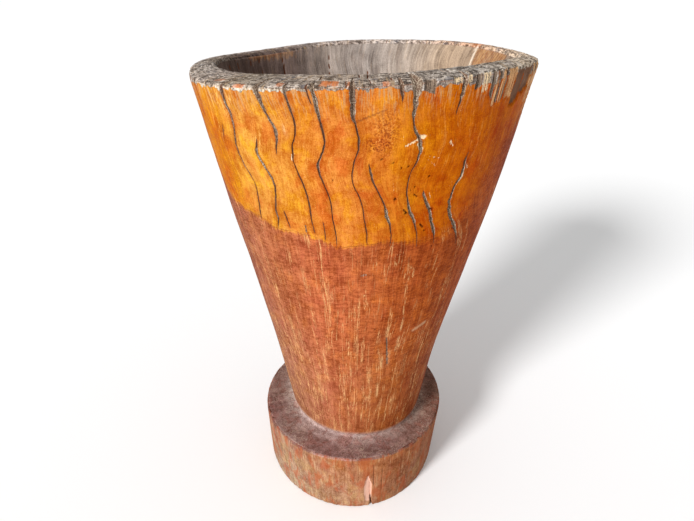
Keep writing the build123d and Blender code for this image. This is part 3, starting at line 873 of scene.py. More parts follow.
# the foot's front left, facing the lamp, gets the same painted sheen
put(is_foot, (colour_round(FOOT_LOW, phi) * (1 - fm) + colour_round(FOOT_TOP, phi) * fm) * (.70, .68, .64) * (1 + lit_side_sheen * (-.22, -.03, .10)))
rl_here = LEDGE_R + wave(LEDGE_W, np.radians(phi))
rw_here = WAIST_R + wave(WAIST_W, np.radians(phi))
share = np.clip((rad - rw_here) / (rl_here - rw_here), 0, 1)
lm = step(share + .10 * nz(world, 13, 61, 2, mask=is_ledge), .16, .52)[:, None]
put(is_ledge, (colour_round(LEDGE_IN, phi) * (1 - lm) + colour_round(LEDGE_OUT, phi) * lm) * (.80, .80, .82))
lipc = (zn == "ledgeedge")
glint = step(17 - np.abs(phi + 101), 0, 9)[:, None]
put(lipc, colour_round(LEDGE_OUT, phi) * ((.62, .52, .50) + glint * (.62, .66, .66)))
right_top = step(46 - np.abs(phi + 14), 0, 22)[:, None]
put(is_top, colour_round(RIMTOP, phi) * .84 * (1 + .34 * right_top))
dm = step(depth_in, 110, 330)[:, None]
put(is_bowl, (colour_round(INSIDE, phi) * (1 - dm) + INSIDE_LOW * dm) * .74)
put(is_under, UNDER)

# painted shade: the worn back-left lip of the rim's top takes the interior colour darkened to .58
lip_shade_colour = colour_round(INSIDE, phi) * .58
lip_shade_mix = worn_lip_painted_shade[:, None]
col_a[is_top] = (col_a * (1 - lip_shade_mix) + lip_shade_colour * lip_shade_mix)[is_top]
col_b[is_top] = col_a[is_top]

# signed distance (mm) above the boundary of the woods; soft on the shaded side
tb_here = edge_share(phi)
sapd = np.where(outer, (t - tb_here) * 532.0, 50.0)
sapd[~outer & ~is_top] = -200
soft = round_trip([(-180, 9), (-150, 9), (-135, 5), (-118, 3.2), (-90, 2.8), (-76, 4.5), (-66, 12), (-55, 22), (-40, 30),
                   (-20, 16), (10, 8), (60, 5), (120, 5)], phi)

# weathered grey wood round the rim
grey = np.zeros(n_v)
edge_n = nz(grain * [1, 1, 0], 6.0, 62, 3, mask=outer | is_top) + .8 * nz(grain * [1, 1, 0], 23.0, 63, 2, mask=outer | is_top)
reach_mm = 3.0 + 4.5 * np.clip(edge_n, -.4, 1.2) + 9.0 * round_trip([(-180, .5), (-140, .25), (-100, .12), (-85, .12), (-74, .45),
                                                                     (-66, .3), (-56, .9), (-45, .5), (-30, .9), (10, .7), (90, .6), (150, .6)], phi)
grey[outer] = step(reach_mm[outer] - (1 - t[outer]) * 532, -1.2, 1.6)
grey[is_top] = 1.0
grey[is_bowl] = .8
# weathered tongues that run down into the wide checks
grey = np.maximum(grey, np.where(outer & (t > .93), np.clip(crack * 1.2, 0, 1), 0))
# flecks of unweathered wood on the rim's top
fleck = np.zeros(n_v)
for a0, a1, r0, r1, st in ((-99.5, -94.5, 190, 201, .8), (-111.0, -109.0, 195, 202, .5), (-84.0, -82.0, 198, 204, .6),
                           (-124.0, -120.0, 201, 207, .7), (-92.5, -91.8, 192, 202, .5), (-134, -131, 190, 198, .4),
                           (28, 33, 184, 204, .5), (140, 146, 180, 200, .5)):
    mid = (a0 + a1) / 2
    dx = (((phi - mid + 180) % 360) - 180) / ((a1 - a0) / 2)
    dr = (rad - (r0 + r1) / 2) / ((r1 - r0) / 2)
    q = np.maximum(np.abs(dx), np.abs(dr)) + .45 * nz(grain * [1, 1, .3], 3.0, 64, 2, mask=is_top)
    fleck = np.maximum(fleck, np.where(is_top, step(1.1 - q, 0, .35) * st, 0))

mid_in = ((phi - 17.5 + 180) % 360) - 180
q = np.maximum(np.abs(mid_in) / 12.5, (RIM_H + CROWN - p0[:, 2]) / 24.0) + .3 * nz(grain, (3, 3, 12), 66, 2, mask=is_bowl)
fleck = np.maximum(fleck, np.where(is_bowl, .85 * step(1.12 - q, 0, .4), 0))
q = np.hypot((((phi - 30.0 + 180) % 360) - 180) * 3.1 / 1.6, np.maximum(RIM_H + CROWN - p0[:, 2] - 34, 0) / 8.0)
lightline = np.where(is_bowl | is_top, step(1.3 - q, 0, .7), 0)
# where thin pale fibres gather
lit = np.where(outer, step(16 - np.abs(((phi + 129 + 180) % 360) - 180), 0, 8) * step(t, .80, .90), 0)
lit = np.maximum(lit, np.where(outer, .8 * step(.45 - t, 0, .1), 0))

mid_in = ((phi - 139 + 180) % 360) - 180
q = np.maximum(np.abs(mid_in) / 13, (RIM_H + CROWN - p0[:, 2]) / 16.0) + .5 * nz(grain, (4, 4, 9), 67, 2, mask=is_bowl)
fleck = np.maximum(fleck, np.where(is_bowl, .55 * step(1.12 - q, 0, .3), 0))

# scuffed, speckled patch
q = np.hypot((((phi + 82.2 + 180) % 360) - 180) * 3.45 / 14.0, (t - .915) * 532 / 24.0)
q2 = np.hypot((((phi + 83.6 + 180) % 360) - 180) * 3.45 / 16.0, (t - .895) * 532 / 9.0)
speck = np.where(outer, np.maximum(step(1.35 - q, 0, .9) * .75, step(1.3 - q2, 0, .8)), 0)

ripple_w = np.where(outer, .35 + .65 * step(tb_here - t, -.05, .05) * step(t, .12, .3), .2)


# ------------------------------------------------------------------ meshes
vid = index
extra_pos = []
extra_rows = []
B, Q = P[kb], P[kr]
rB, rQ = np.hypot(B[:, 0], B[:, 1]), np.hypot(Q[:, 0], Q[:, 1])
fB, fQ = PHI[kb], PHI[kr]
base_n = len(p0)
for s, inset in ((.008, 4.0), (.03, 9.0), (.08, 12.5), (.2, 12.5), (.4, 12.5), (.6, 12.5), (.8, 12.0), (.93, 9.0)):
    f = fB + (fQ - fB) * s
    a = np.radians(f)
    z = B[:, 2] + (Q[:, 2] - B[:, 2]) * s
    tz = (z - LEDGE_H) / (rim_height(a) - LEDGE_H)
    cx, cy, cz = cone(a, tz)
    ro_z = np.hypot(cx, cy)
    r = np.minimum(rB + (rQ - rB) * s, ro_z - inset)
    extra_rows.append(np.arange(N) + base_n + len(extra_rows) * N)
    extra_pos.append(np.stack([r * np.cos(a), r * np.sin(a), z], -1))
hidden = np.concatenate(extra_pos)
centre_under = base_n + len(hidden)
centre_bowl = centre_under + 1
all_pos = np.concatenate([final, hidden, [[0, 0, 1.0]], [[0, 0, BOTTOM_Z - BOTTOM_R]]])


def strip(lo, s0, hi, s1):
    """Faces between two rows of vertex numbers with column steps s0 and s1."""
    if s0 == s1:
        a = lo[::s0]
        b = np.roll(a, -1)
        d = hi[::s1]
        c = np.roll(d, -1)
        return [np.stack([a, b, c, d], -1)]
    if s1 == 2 * s0:
        f0 = lo[::s1]
        f1 = lo[s0::s1]
        f2 = np.roll(f0, -1)
        c0 = hi[::s1]
        c1 = np.roll(c0, -1)
        return [np.stack(x, -1) for x in ((f0, f1, c0), (f1, c1, c0), (f1, f2, c1))]
    f0 = hi[::s0]
    f1 = hi[s1::s0]
    f2 = np.roll(f0, -1)
    c0 = lo[::s0]
    c1 = np.roll(c0, -1)
    return [np.stack(x, -1) for x in ((c0, f1, f0), (c0, c1, f1), (c1, f2, f1))]


def rows_between(first, last):
    out = []
    for k in range(first, last):
        s0, s1 = rows[k][2], rows[k + 1][2]
        lo, hi = vid[k], vid[k + 1]
        out += strip(lo, s0, hi, s1)
    return out


fan_under = vid[0][::rows[0][2]]
fan_bowl = vid[M - 1][::rows[M - 1][2]]
inter = [vid[kb]] + extra_rows + [vid[kr]]
inter_faces = []
for lo, hi in zip(inter[:-1], inter[1:]):
    inter_faces += strip(lo, 1, hi, 1)
heart_faces = ([np.stack([np.full(len(fan_under), centre_under), np.roll(fan_under, -1), fan_under], -1)]
               + rows_between(0, kb) + inter_faces + rows_between(kr, M - 1)
               + [np.stack([fan_bowl, np.roll(fan_bowl, -1), np.full(len(fan_bowl), centre_bowl)], -1)])
sap_faces = rows_between(kb, kr) + [f[:, ::-1] for f in inter_faces]

# per-vertex values, with plain ones on the hidden faces
n_all = len(all_pos)


def widen(v, fill=0.0):
    v = np.asarray(v, float)
    out = np.full((n_all,) + v.shape[1:], fill, float)
    out[:len(v)] = v
    return out


grain_all = np.zeros((n_all, 3))
grain_all[:n_v] = grain
grain_all[n_v:] = all_pos[n_v:]
grain_all[centre_bowl] = (0, 0, s_len.max() + 20)
col_a_all, col_b_all = widen(col_a, .25), widen(col_b, .25)
col_a_all[centre_bowl] = col_b_all[centre_bowl] = INSIDE_LOW
col_a_all[centre_under] = col_b_all[centre_under] = UNDER
floats = dict(sapd=widen(sapd, -200), soft=widen(soft, 5), crack=widen(crack), pale=widen(pale), halo=widen(halo),
              cream=widen(cream), dark=widen(dark), slate=widen(slate), hole=widen(hole), brown=widen(panel_brown),
              scar=widen(scar), streak=widen(streak), tanw=widen(tanw), lightline=widen(lightline), lit=widen(lit), smear=widen(smear), grey=widen(grey), fleck=widen(fleck), speck=widen(speck),
              ripple=widen(ripple_w), top=widen(is_top * (1 - .85 * worn_lip_painted_shade)), worn_lip_painted_shade=widen(worn_lip_painted_shade), rim_edge_highlight=widen(step(27 - np.abs(((phi + 124 + 180) % 360) - 180), 0, 10)), drip=widen(np.where(outer, step(t, .925, .99), 0)), inside=widen(is_bowl.astype(float)),
              ledge=widen(np.where(zn == "ledgeedge", .78 * step(par, .1, .7), is_ledge)), foot=widen(is_foot.astype(float)),
              rings=widen(np.where(is_top, rad, 0.0)))
prof = S.mean(axis=1)
v_of_row = (prof - prof[0]) / (prof[-1] - prof[0])
col_of = np.concatenate([cc, np.tile(np.arange(N), len(extra_rows)), [0, 0]])
row_of = np.concatenate([kk, np.repeat(np.full(len(extra_rows), kb), N), [0, M - 1]])


def build(name, face_sets, split):
    used_ids = np.unique(np.concatenate([f.ravel() for f in face_sets]))
    remap = np.full(n_all, -1)
    remap[used_ids] = np.arange(len(used_ids))
    me = bpy.data.meshes.new(name)
    sizes = np.concatenate([np.full(len(f), f.shape[1]) for f in face_sets])
    loops = np.concatenate([f.ravel() for f in face_sets])
    me.vertices.add(len(used_ids))
    me.vertices.foreach_set("co", (all_pos[used_ids] * MM).astype(np.float32).ravel())
    me.loops.add(len(loops))
    me.loops.foreach_set("vertex_index", remap[loops].astype(np.int32))
    me.polygons.add(len(sizes))
    starts = np.concatenate([[0], np.cumsum(sizes)[:-1]])
    me.polygons.foreach_set("loop_start", starts.astype(np.int32))
    me.polygons.foreach_set("use_smooth", np.ones(len(sizes), bool))
    me.update(calc_edges=True)
    # bake layout: angle across, profile length up; a face over the seam keeps together
    uv = me.uv_layers.new(name="OFBake")
    face_of = np.repeat(np.arange(len(sizes)), sizes)
    x = col_of[loops] / N
    first = x[starts][face_of]
    x = np.where(x - first > .5, x - 1, np.where(first - x > .5, x + 1, x))
    lo = np.minimum.reduceat(x, starts)[face_of]
    x = np.where(lo < -1e-9, x + 1, x)
    centre = (loops == centre_under) | (loops == centre_bowl)
    mid = (np.add.reduceat(np.where(centre, 0, x), starts) / np.maximum(np.add.reduceat(np.where(centre, 0.0, 1.0), starts), 1))[face_of]
    x = np.where(centre, mid, x)
    y = v_of_row[row_of[loops]]
    y = np.where(loops == centre_bowl, v_of_row[-1] + .004, np.where(loops == centre_under, v_of_row[0] - .004, y))
    hid = (loops >= base_n) & (loops < centre_under)
    hid_row = (loops - base_n) // N
    if split == 1:
        ys = .02 + .93 * y
        hidden_face = np.maximum.reduceat(hid.astype(int), starts)[face_of] > 0
        yh = .972 + .02 * np.where(hid, (hid_row + 1) / 9.0, np.where(row_of[loops] == kb, 0.0, 1.0))
        ys = np.where(hidden_face, yh, ys)
        xs = .004 + .992 * x / 1.002
    else:
        y0, y1 = v_of_row[kb], v_of_row[kr]
        yy = (y - y0) / (y1 - y0)
        hidden_face = np.maximum.reduceat(hid.astype(int), starts)[face_of] > 0
        yh = 1.03 + .05 * np.where(hid, (hid_row + 1) / 9.0, np.where(row_of[loops] == kb, 0.0, 1.0))
        yy = np.where(hidden_face, yh, yy)
        fx0 = np.minimum.reduceat(x, starts)[face_of]
        band = np.clip(np.floor(fx0 * split + 1e-9), 0, split - 1)
        xs = .004 + .99 * (x * split - band) / 1.01
        ys = (band + .02 + .88 * yy) / split
    uv.data.foreach_set("uv", np.stack([xs, ys], -1).astype(np.float32).ravel())
    at = me.attributes.new("grain", "FLOAT_VECTOR", "POINT")
    at.data.foreach_set("vector", grain_all[used_ids].astype(np.float32).ravel())
    for key, src in (("wood_a", col_a_all), ("wood_b", col_b_all)):
        at = me.attributes.new(key, "FLOAT_COLOR", "POINT")
        rgba = np.concatenate([src[used_ids], np.ones((len(used_ids), 1))], 1)
        at.data.foreach_set("color", rgba.astype(np.float32).ravel())
    for key, src in floats.items():
        at = me.attributes.new(key, "FLOAT", "POINT")
        at.data.foreach_set("value", src[used_ids].astype(np.float32))
    ob = bpy.data.objects.new(name, me)
    bpy.context.scene.collection.objects.link(ob)
    print(name, len(used_ids), "vertices", len(sizes), "faces")
    return ob


heartwood = build("carved_heartwood", heart_faces, 1)
sapwood = build("carved_sapwood", sap_faces, 4)


# ------------------------------------------------------------------ material
class Tree:
    def __init__(self, mat):
        self.t = mat.node_tree
        self.t.nodes.clear()

    def node(self, kind, **kw):
        n = self.t.nodes.new(kind)
        for k, v in kw.items():
            setattr(n, k, v)
        return n

    def put(self, sock, v):
        if isinstance(v, bpy.types.NodeSocket):
            self.t.links.new(v, sock)
        elif v is not None:
            if hasattr(sock.default_value, "__len__") and not hasattr(v, "__len__"):
                v = [v] * len(sock.default_value)
            if hasattr(v, "__len__") and len(v) == 3 and len(sock.default_value) == 4:
                v = list(v) + [1.0]
            sock.default_value = v

    def attr(self, name, out="Fac"):
        return self.node("ShaderNodeAttribute", attribute_name=name).outputs[out]

    def math(self, op, a, b=None, c=None, clamp=False):
        n = self.node("ShaderNodeMath", operation=op, use_clamp=clamp)
        self.put(n.inputs[0], a)
        if b is not None:
            self.put(n.inputs[1], b)
        if c is not None:
            self.put(n.inputs[2], c)
        return n.outputs[0]

    def add(self, *xs):
        out = xs[0]
        for x in xs[1:]:
            out = self.math("ADD", out, x)
        return out

    def mul(self, *xs):
        out = xs[0]
        for x in xs[1:]:
            out = self.math("MULTIPLY", out, x)
        return out

    def scale(self, vec, s):
        n = self.node("ShaderNodeVectorMath", operation="MULTIPLY")
        self.put(n.inputs[0], vec)
        self.put(n.inputs[1], s)
        return n.outputs[0]

    def noise(self, vec, detail=2.0, rough=.5, warp=0.0):
        n = self.node("ShaderNodeTexNoise")
        self.put(n.inputs["Vector"], vec)
        n.inputs["Scale"].default_value = 1.0
        n.inputs["Detail"].default_value = detail
        n.inputs["Roughness"].default_value = rough
        n.inputs["Distortion"].default_value = warp
        return n.outputs["Fac"]

    def ramp(self, x, lo, hi, a=0.0, b=1.0):
        n = self.node("ShaderNodeMapRange", interpolation_type="SMOOTHSTEP")
        self.put(n.inputs["Value"], x)
        for k, v in (("From Min", lo), ("From Max", hi), ("To Min", a), ("To Max", b)):
            self.put(n.inputs[k], v)
        return n.outputs["Result"]

    def mix(self, fac, a, b, blend="MIX"):
        n = self.node("ShaderNodeMix", data_type="RGBA", blend_type=blend, clamp_factor=True)
        self.put(n.inputs[0], fac)
        self.put(n.inputs[6], a)
        self.put(n.inputs[7], b)
        return n.outputs[2]


def rgb(*c):
    return tuple(float(x) for x in lin(c))


def wood(name):
    mat = bpy.data.materials.new(name)
    mat.use_nodes = True
    k = Tree(mat)
    G = k.attr("grain", "Vector")
    obj = k.node("ShaderNodeTexCoord").outputs["Object"]
    pos = k.scale(obj, (1000, 1000, 1000))
    fine = k.noise(k.scale(G, (1 / .8, 1 / .8, 1 / 26)), 3, .6)
    mid = k.noise(k.scale(G, (1 / 3.2, 1 / 3.2, 1 / 60)), 3, .55)
    broad = k.noise(k.scale(G, (1 / 11, 1 / 11, 1 / 130)), 2, .5)
    ripple = k.noise(k.scale(G, (1 / 13, 1 / 13, 1 / 2.0)), 2, .55, .3)
    blot = k.noise(k.scale(pos, (1 / 15, 1 / 15, 1 / 15)), 4, .6)
    cloud = k.noise(k.scale(pos, (1 / 60, 1 / 60, 1 / 60)), 2, .5)
    pore = k.noise(k.scale(G, (1 / .55, 1 / .55, 1 / 6)), 1, .5)
    grit = k.noise(k.scale(pos, (1 / 1.2, 1 / 1.2, 1 / 1.2)), 3, .65)
    rings = k.noise(k.scale(pos, (1 / 26, 1 / 26, 1 / 26)), 1)
    ringco = k.node("ShaderNodeCombineXYZ")
    k.put(ringco.inputs[0], k.math("MULTIPLY_ADD", k.attr("rings"), 1 / 1.5, k.mul(rings, 7.0)))
    flat = k.node("ShaderNodeSeparateXYZ")
    k.put(flat.inputs[0], k.scale(pos, (1 / 16, 1 / 16, 1)))
    k.put(ringco.inputs[1], flat.outputs[0])
    k.put(ringco.inputs[2], flat.outputs[1])
    ring = k.noise(ringco.outputs[0], 3, .65)
    # thin wandering lines along the fibres: contours of a long noise
    wand_a = k.noise(k.scale(G, (1 / 7, 1 / 7, 1 / 110)), 4, .6, .8)
    wand_b = k.noise(k.scale(G, (1 / 6, 1 / 6, 1 / 90)), 4, .6, .8)
    line_a = k.ramp(k.math("ABSOLUTE", k.math("SUBTRACT", wand_a, .55)), .004, .018, 1.0, 0.0)
    line_b = k.ramp(k.math("ABSOLUTE", k.math("SUBTRACT", wand_b, .47)), .003, .014, 1.0, 0.0)
    gate_a = k.noise(k.scale(G, (1 / 14, 1 / 14, 1 / 55)), 2, .5)
    gate_b = k.noise(k.scale(G, (1 / 20, 1 / 20, 1 / 60)), 2, .5)

    # the two woods
    edge = k.add(k.attr("sapd"), k.mul(k.math("SUBTRACT", mid, .5), 17.0), k.mul(k.math("SUBTRACT", blot, .5), 13.0),
                 k.mul(k.math("SUBTRACT", k.noise(k.scale(pos, (1 / 22, 1 / 22, 1 / 5)), 3), .5), k.attr("soft"), 1.6))
    sapness = k.ramp(k.math("DIVIDE", edge, k.attr("soft")), -1.0, 1.0)
    rip = k.mul(k.math("SUBTRACT", ripple, .5), k.attr("ripple"))
    patch = k.noise(k.scale(pos, (1 / 5, 1 / 5, 1 / 7)), 3, .6, .5)
    n_sap = k.add(k.mul(k.math("SUBTRACT", fine, .5), .9), k.mul(k.math("SUBTRACT", mid, .5), .9),
                  k.mul(k.math("SUBTRACT", blot, .5), 1.3), k.mul(k.math("SUBTRACT", broad, .5), 1.0),
                  k.mul(k.math("SUBTRACT", patch, .5), 1.2),
                  k.mul(k.math("SUBTRACT", grit, .5), 2.0), k.mul(k.math("SUBTRACT", cloud, .5), .7), rip, .5)
    sap_mul = k.mix(n_sap, (.72, .50, .22, 1), (1.22, 1.36, 1.55, 1))
    sap_col = k.mix(1.0, k.attr("wood_a", "Color"), sap_mul, "MULTIPLY")
    n_heart = k.add(k.mul(k.math("SUBTRACT", fine, .5), 1.1), k.mul(k.math("SUBTRACT", mid, .5), .9),
                    k.mul(k.math("SUBTRACT", blot, .5), 1.0), k.mul(k.math("SUBTRACT", broad, .5), .9),
                    k.mul(k.math("SUBTRACT", patch, .5), 1.3),
                    k.mul(k.math("SUBTRACT", grit, .5), 2.2), k.mul(k.math("SUBTRACT", cloud, .5), .6),
                    k.mul(rip, 1.6), .5)
    heart_mul = k.mix(n_heart, (.58, .44, .32, 1), (1.32, 1.42, 1.50, 1))
    heart_col = k.mix(1.0, k.attr("wood_b", "Color"), heart_mul, "MULTIPLY")
    hue = k.noise(k.scale(pos, (1 / 22, 1 / 22, 1 / 30)), 3, .6, .4)
    heart_col = k.mix(k.ramp(hue, .50, .66, 0.0, .55), heart_col, k.mix(1.0, heart_col, (1.22, 1.30, .92, 1), "MULTIPLY"))
    heart_col = k.mix(k.ramp(hue, .34, .48, .5, 0.0), heart_col, k.mix(1.0, heart_col, (.86, .70, .84, 1), "MULTIPLY"))
    sap_col = k.mix(k.ramp(hue, .50, .64, 0.0, .8), sap_col, k.mix(1.0, sap_col, (1.08, 1.22, .45, 1), "MULTIPLY"))
    sap_col = k.mix(k.ramp(hue, .34, .48, .9, 0.0), sap_col, k.mix(1.0, sap_col, (.92, .66, .62, 1), "MULTIPLY"))
    smudge = k.noise(k.scale(pos, (1 / 34, 1 / 34, 1 / 24)), 3, .6, .3)
    sap_col = k.mix(k.ramp(smudge, .52, .66, 0.0, .7), sap_col, k.mix(1.0, sap_col, (.84, .66, .44, 1), "MULTIPLY"))
    sap_col = k.mix(k.ramp(smudge, .34, .46, .6, 0.0), sap_col, k.mix(1.0, sap_col, (1.05, 1.12, 1.0, 1), "MULTIPLY"))
    wood_col = k.mix(sapness, heart_col, sap_col)
    wood_col = k.mix(k.mul(line_b, k.ramp(gate_b, .46, .60), k.math("MULTIPLY_ADD", sapness, -.25, .6)), wood_col,
                     k.mix(1.0, wood_col, (.52, .38, .30, 1), "MULTIPLY"))
    wood_col = k.mix(k.mul(line_a, k.ramp(k.math("MULTIPLY_ADD", k.attr("lit"), .12, gate_a), .48, .60), k.ramp(grit, .30, .48), k.math("MULTIPLY_ADD", k.math("MULTIPLY", sapness, k.math("SUBTRACT", 1.0, k.attr("lit"))), -.62, .8), k.math("MULTIPLY_ADD", k.attr("foot"), -.6, 1.0)),
                     wood_col, k.mix(sapness, rgb(222, 172, 116), rgb(246, 192, 104)))
    pores = k.mul(k.ramp(pore, .60, .72), k.ramp(mid, .35, .6), .38)
    wood_col = k.mix(pores, wood_col, k.mix(1.0, wood_col, (.45, .34, .26, 1), "MULTIPLY"))
    # pale rubbed fibres low down
    rub = k.mul(k.ramp(k.noise(k.scale(G, (1 / 1.3, 1 / 1.3, 1 / 24)), 3, .65, .4), .58, .70),
                k.ramp(k.add(k.mul(cloud, .6), k.mul(broad, .5)), .49, .68), k.math("SUBTRACT", 1.0, sapness), .44)
    wood_col = k.mix(rub, wood_col, rgb(214, 168, 118))
    wood_col = k.mix(k.math("MULTIPLY", k.attr("streak"), k.ramp(k.add(k.mul(fine, .7), k.mul(grit, .4)), .50, .64), clamp=True), wood_col, rgb(226, 186, 132))
    short = k.noise(k.scale(G, (1 / 1.7, 1 / 1.7, 1 / 15)), 3, .6, .3)
    wood_col = k.mix(k.mul(k.attr("drip"), k.ramp(short, .50, .60), .75), wood_col, k.mix(grit, rgb(150, 96, 50), rgb(206, 168, 122)))
    wood_col = k.mix(k.mul(k.attr("drip"), k.ramp(short, .34, .44, 1.0, 0.0), .5), wood_col, rgb(150, 78, 30))
    # stains beside the checks, the long scratch
    wood_col = k.mix(k.mul(k.attr("halo"), .62), wood_col, k.mix(1.0, wood_col, (.62, .47, .36, 1), "MULTIPLY"))
    wood_col = k.mix(k.attr("dark"), wood_col, rgb(120, 62, 34))
    # scuffed patch
    dot = k.noise(k.scale(pos, (1 / 1.9, 1 / 1.9, 1 / 1.9)), 2, .6)
    sp = k.mul(k.attr("speck"), k.ramp(k.add(k.mul(dot, .8), k.mul(blot, .25)), .52, .60))
    wood_col = k.mix(k.mul(k.attr("speck"), .22), wood_col, rgb(186, 92, 44))
    wood_col = k.mix(k.mul(sp, .9), wood_col, rgb(124, 50, 20))
    wood_col = k.mix(k.mul(k.attr("speck"), k.ramp(dot, .30, .42, .7, 0.0)), wood_col, rgb(240, 170, 88))

    wood_col = k.mix(k.attr("smear"), wood_col, rgb(196, 158, 122))

    # weathered wood of the rim and the inside
    gn = k.add(k.mul(k.math("SUBTRACT", fine, .5), 1.7), k.mul(k.math("SUBTRACT", mid, .5), 1.8),
               k.mul(k.math("SUBTRACT", grit, .5), 2.2), k.mul(k.math("SUBTRACT", blot, .5), 1.5),
               k.mul(k.math("SUBTRACT", broad, .5), k.attr("inside"), 2.2), .0)
    gn = k.add(k.mul(gn, k.math("MULTIPLY_ADD", k.attr("inside"), -.62, 1.0), k.math("MULTIPLY_ADD", k.attr("top"), -.45, 1.0)),
               k.mul(k.math("SUBTRACT", ring, .5), k.attr("top"), 4.4),
               k.mul(k.math("SUBTRACT", patch, .5), k.attr("top"), 3.2),
               k.mul(k.math("SUBTRACT", grit, .5), k.attr("top"), 1.8), .46)
    # near the lit front left the weathered rim edge turns nearly white: a painted highlight
    edge_grey = k.mix(k.attr("rim_edge_highlight"), rgb(138, 124, 114), rgb(190, 178, 160))
    weather_base = k.mix(k.math("MAXIMUM", k.math("MAXIMUM", k.attr("top"), k.attr("worn_lip_painted_shade")), k.attr("inside")), edge_grey, k.attr("wood_a", "Color"))
    grey_mul = k.mix(gn, (.26, .24, .23, 1), (1.62, 1.64, 1.66, 1))
    weather = k.mix(1.0, weather_base, grey_mul, "MULTIPLY")
    bluish = k.mul(k.ramp(k.noise(k.scale(pos, (1 / 9, 1 / 9, 1 / 9)), 3), .56, .68), k.attr("top"), .4)
    weather = k.mix(bluish, weather, rgb(112, 112, 120))
    white = k.mul(k.ramp(k.add(k.mul(grit, .45), k.mul(patch, .55)), .55, .62), k.math("SUBTRACT", 1.0, k.attr("inside")), k.math("SUBTRACT", 1.0, k.attr("worn_lip_painted_shade")), .8)
    weather = k.mix(white, weather, rgb(226, 216, 204))
    tan = k.mul(k.ramp(k.noise(k.scale(G, (1 / 4, 1 / 4, 1 / 22)), 3), .56, .68), .4, k.math("MULTIPLY_ADD", k.attr("inside"), -.7, 1.0))
    weather = k.mix(tan, weather, rgb(188, 156, 118))
    drift = k.noise(k.scale(G, (1 / 24, 1 / 24, 1 / 60)), 3, .55, .5)
    weather = k.mix(k.mul(k.attr("inside"), k.ramp(drift, .50, .64), .5), weather, k.mix(1.0, weather, (1.22, 1.22, 1.24, 1), "MULTIPLY"))
    weather = k.mix(k.mul(k.attr("inside"), k.ramp(drift, .34, .46, 1.0, 0.0), .6), weather, k.mix(1.0, weather, (.66, .62, .60, 1), "MULTIPLY"))
    weather = k.mix(k.mul(k.attr("lightline"), .8), weather, rgb(240, 226, 206))
    flk = k.math("MULTIPLY", k.attr("fleck"), k.ramp(k.add(k.mul(fine, .6), k.mul(grit, .5)), .42, .56), clamp=True)
    weather = k.mix(flk, weather, k.mix(k.attr("inside"), rgb(206, 112, 48), k.mix(k.ramp(k.add(k.mul(mid, .5), k.mul(patch, .5)), .38, .62), rgb(138, 78, 36), rgb(196, 148, 98))))
    greyness = k.ramp(k.add(k.attr("grey"), k.mul(k.math("SUBTRACT", grit, .5), .5), k.mul(k.math("SUBTRACT", fine, .5), .5)), .35, .65)
    col = k.mix(greyness, wood_col, weather)

    # dust and dirt of the ledge, streaked foot
    ln = k.add(k.mul(k.math("SUBTRACT", blot, .5), 1.7), k.mul(k.math("SUBTRACT", grit, .5), 3.2),
               k.mul(k.math("SUBTRACT", k.noise(k.scale(pos, (1 / 6, 1 / 6, 1 / 6)), 3, .6, .5), .5), 1.5), .5)
    ledge_col = k.mix(1.0, k.attr("wood_a", "Color"), k.mix(ln, (.55, .46, .42, 1), (1.34, 1.38, 1.42, 1)), "MULTIPLY")
    maroon = k.noise(k.scale(pos, (1 / 17, 1 / 17, 1 / 17)), 3, .6, .6)
    ledge_col = k.mix(k.ramp(maroon, .50, .62, 0.0, .6), ledge_col, k.mix(1.0, ledge_col, (.92, .62, .56, 1), "MULTIPLY"))
    ledge_col = k.mix(k.ramp(maroon, .34, .46, .6, 0.0), ledge_col, k.mix(1.0, ledge_col, (1.22, 1.20, 1.16, 1), "MULTIPLY"))
    scr = k.noise(k.scale(pos, (1 / 9, 1 / 9, 1 / 9)), 3, .6, .8)
    scr = k.mul(k.ramp(k.math("ABSOLUTE", k.math("SUBTRACT", scr, .52)), .004, .014, 1.0, 0.0), k.ramp(cloud, .46, .56), .55)
    ledge_col = k.mix(scr, ledge_col, rgb(206, 186, 164))
    col = k.mix(k.attr("ledge"), col, ledge_col)
    fn = k.noise(k.scale(G, (1 / 2.6, 1 / 2.6, 1 / 42)), 3, .6)
    foot_pale = k.mul(k.ramp(fn, .54, .68), k.ramp(blot, .42, .58), k.attr("foot"), .55)
    col = k.mix(foot_pale, col, rgb(198, 164, 128))
    foot_red = k.mul(k.ramp(k.noise(k.scale(G, (1 / 15, 1 / 15, 1 / 30)), 4, .62, .6), .46, .62), k.attr("foot"), .60)
    col = k.mix(foot_red, col, rgb(160, 78, 44))

    # chips, flakes, scar
    cre = k.mix(k.add(k.mul(fine, .9), k.mul(grit, .3)), rgb(176, 140, 98), rgb(246, 222, 182))
    ragged = k.add(k.mul(k.math("SUBTRACT", grit, .5), 1.2), k.mul(k.math("SUBTRACT", fine, .5), 2.0))
    col = k.mix(k.ramp(k.add(k.attr("cream"), ragged), .45, .8), col, cre)
    tw = k.mix(k.ramp(k.add(k.mul(fine, .5), k.mul(mid, .3), k.mul(grit, .2)), .40, .60), rgb(136, 76, 38), rgb(228, 180, 128))
    col = k.mix(k.ramp(k.add(k.attr("tanw"), k.mul(ragged, .9)), .35, .85), col, tw)
    sl = k.mix(k.ramp(k.add(k.mul(fine, .6), k.mul(mid, .4), k.mul(grit, .3)), .52, .82), rgb(50, 36, 30), rgb(166, 144, 124))
    col = k.mix(k.ramp(k.add(k.attr("slate"), k.mul(ragged, .7)), .4, .75), col, sl)
    br = k.mix(k.add(k.mul(fine, .7), k.mul(blot, .5), -.1), rgb(74, 50, 40), rgb(150, 112, 88))
    col = k.mix(k.ramp(k.attr("brown"), .3, .7), col, br)
    sc = k.mix(k.add(k.mul(fine, .6), k.mul(grit, .4)), rgb(196, 142, 118), rgb(234, 196, 176))
    col = k.mix(k.ramp(k.attr("scar"), .25, .7), col, sc)

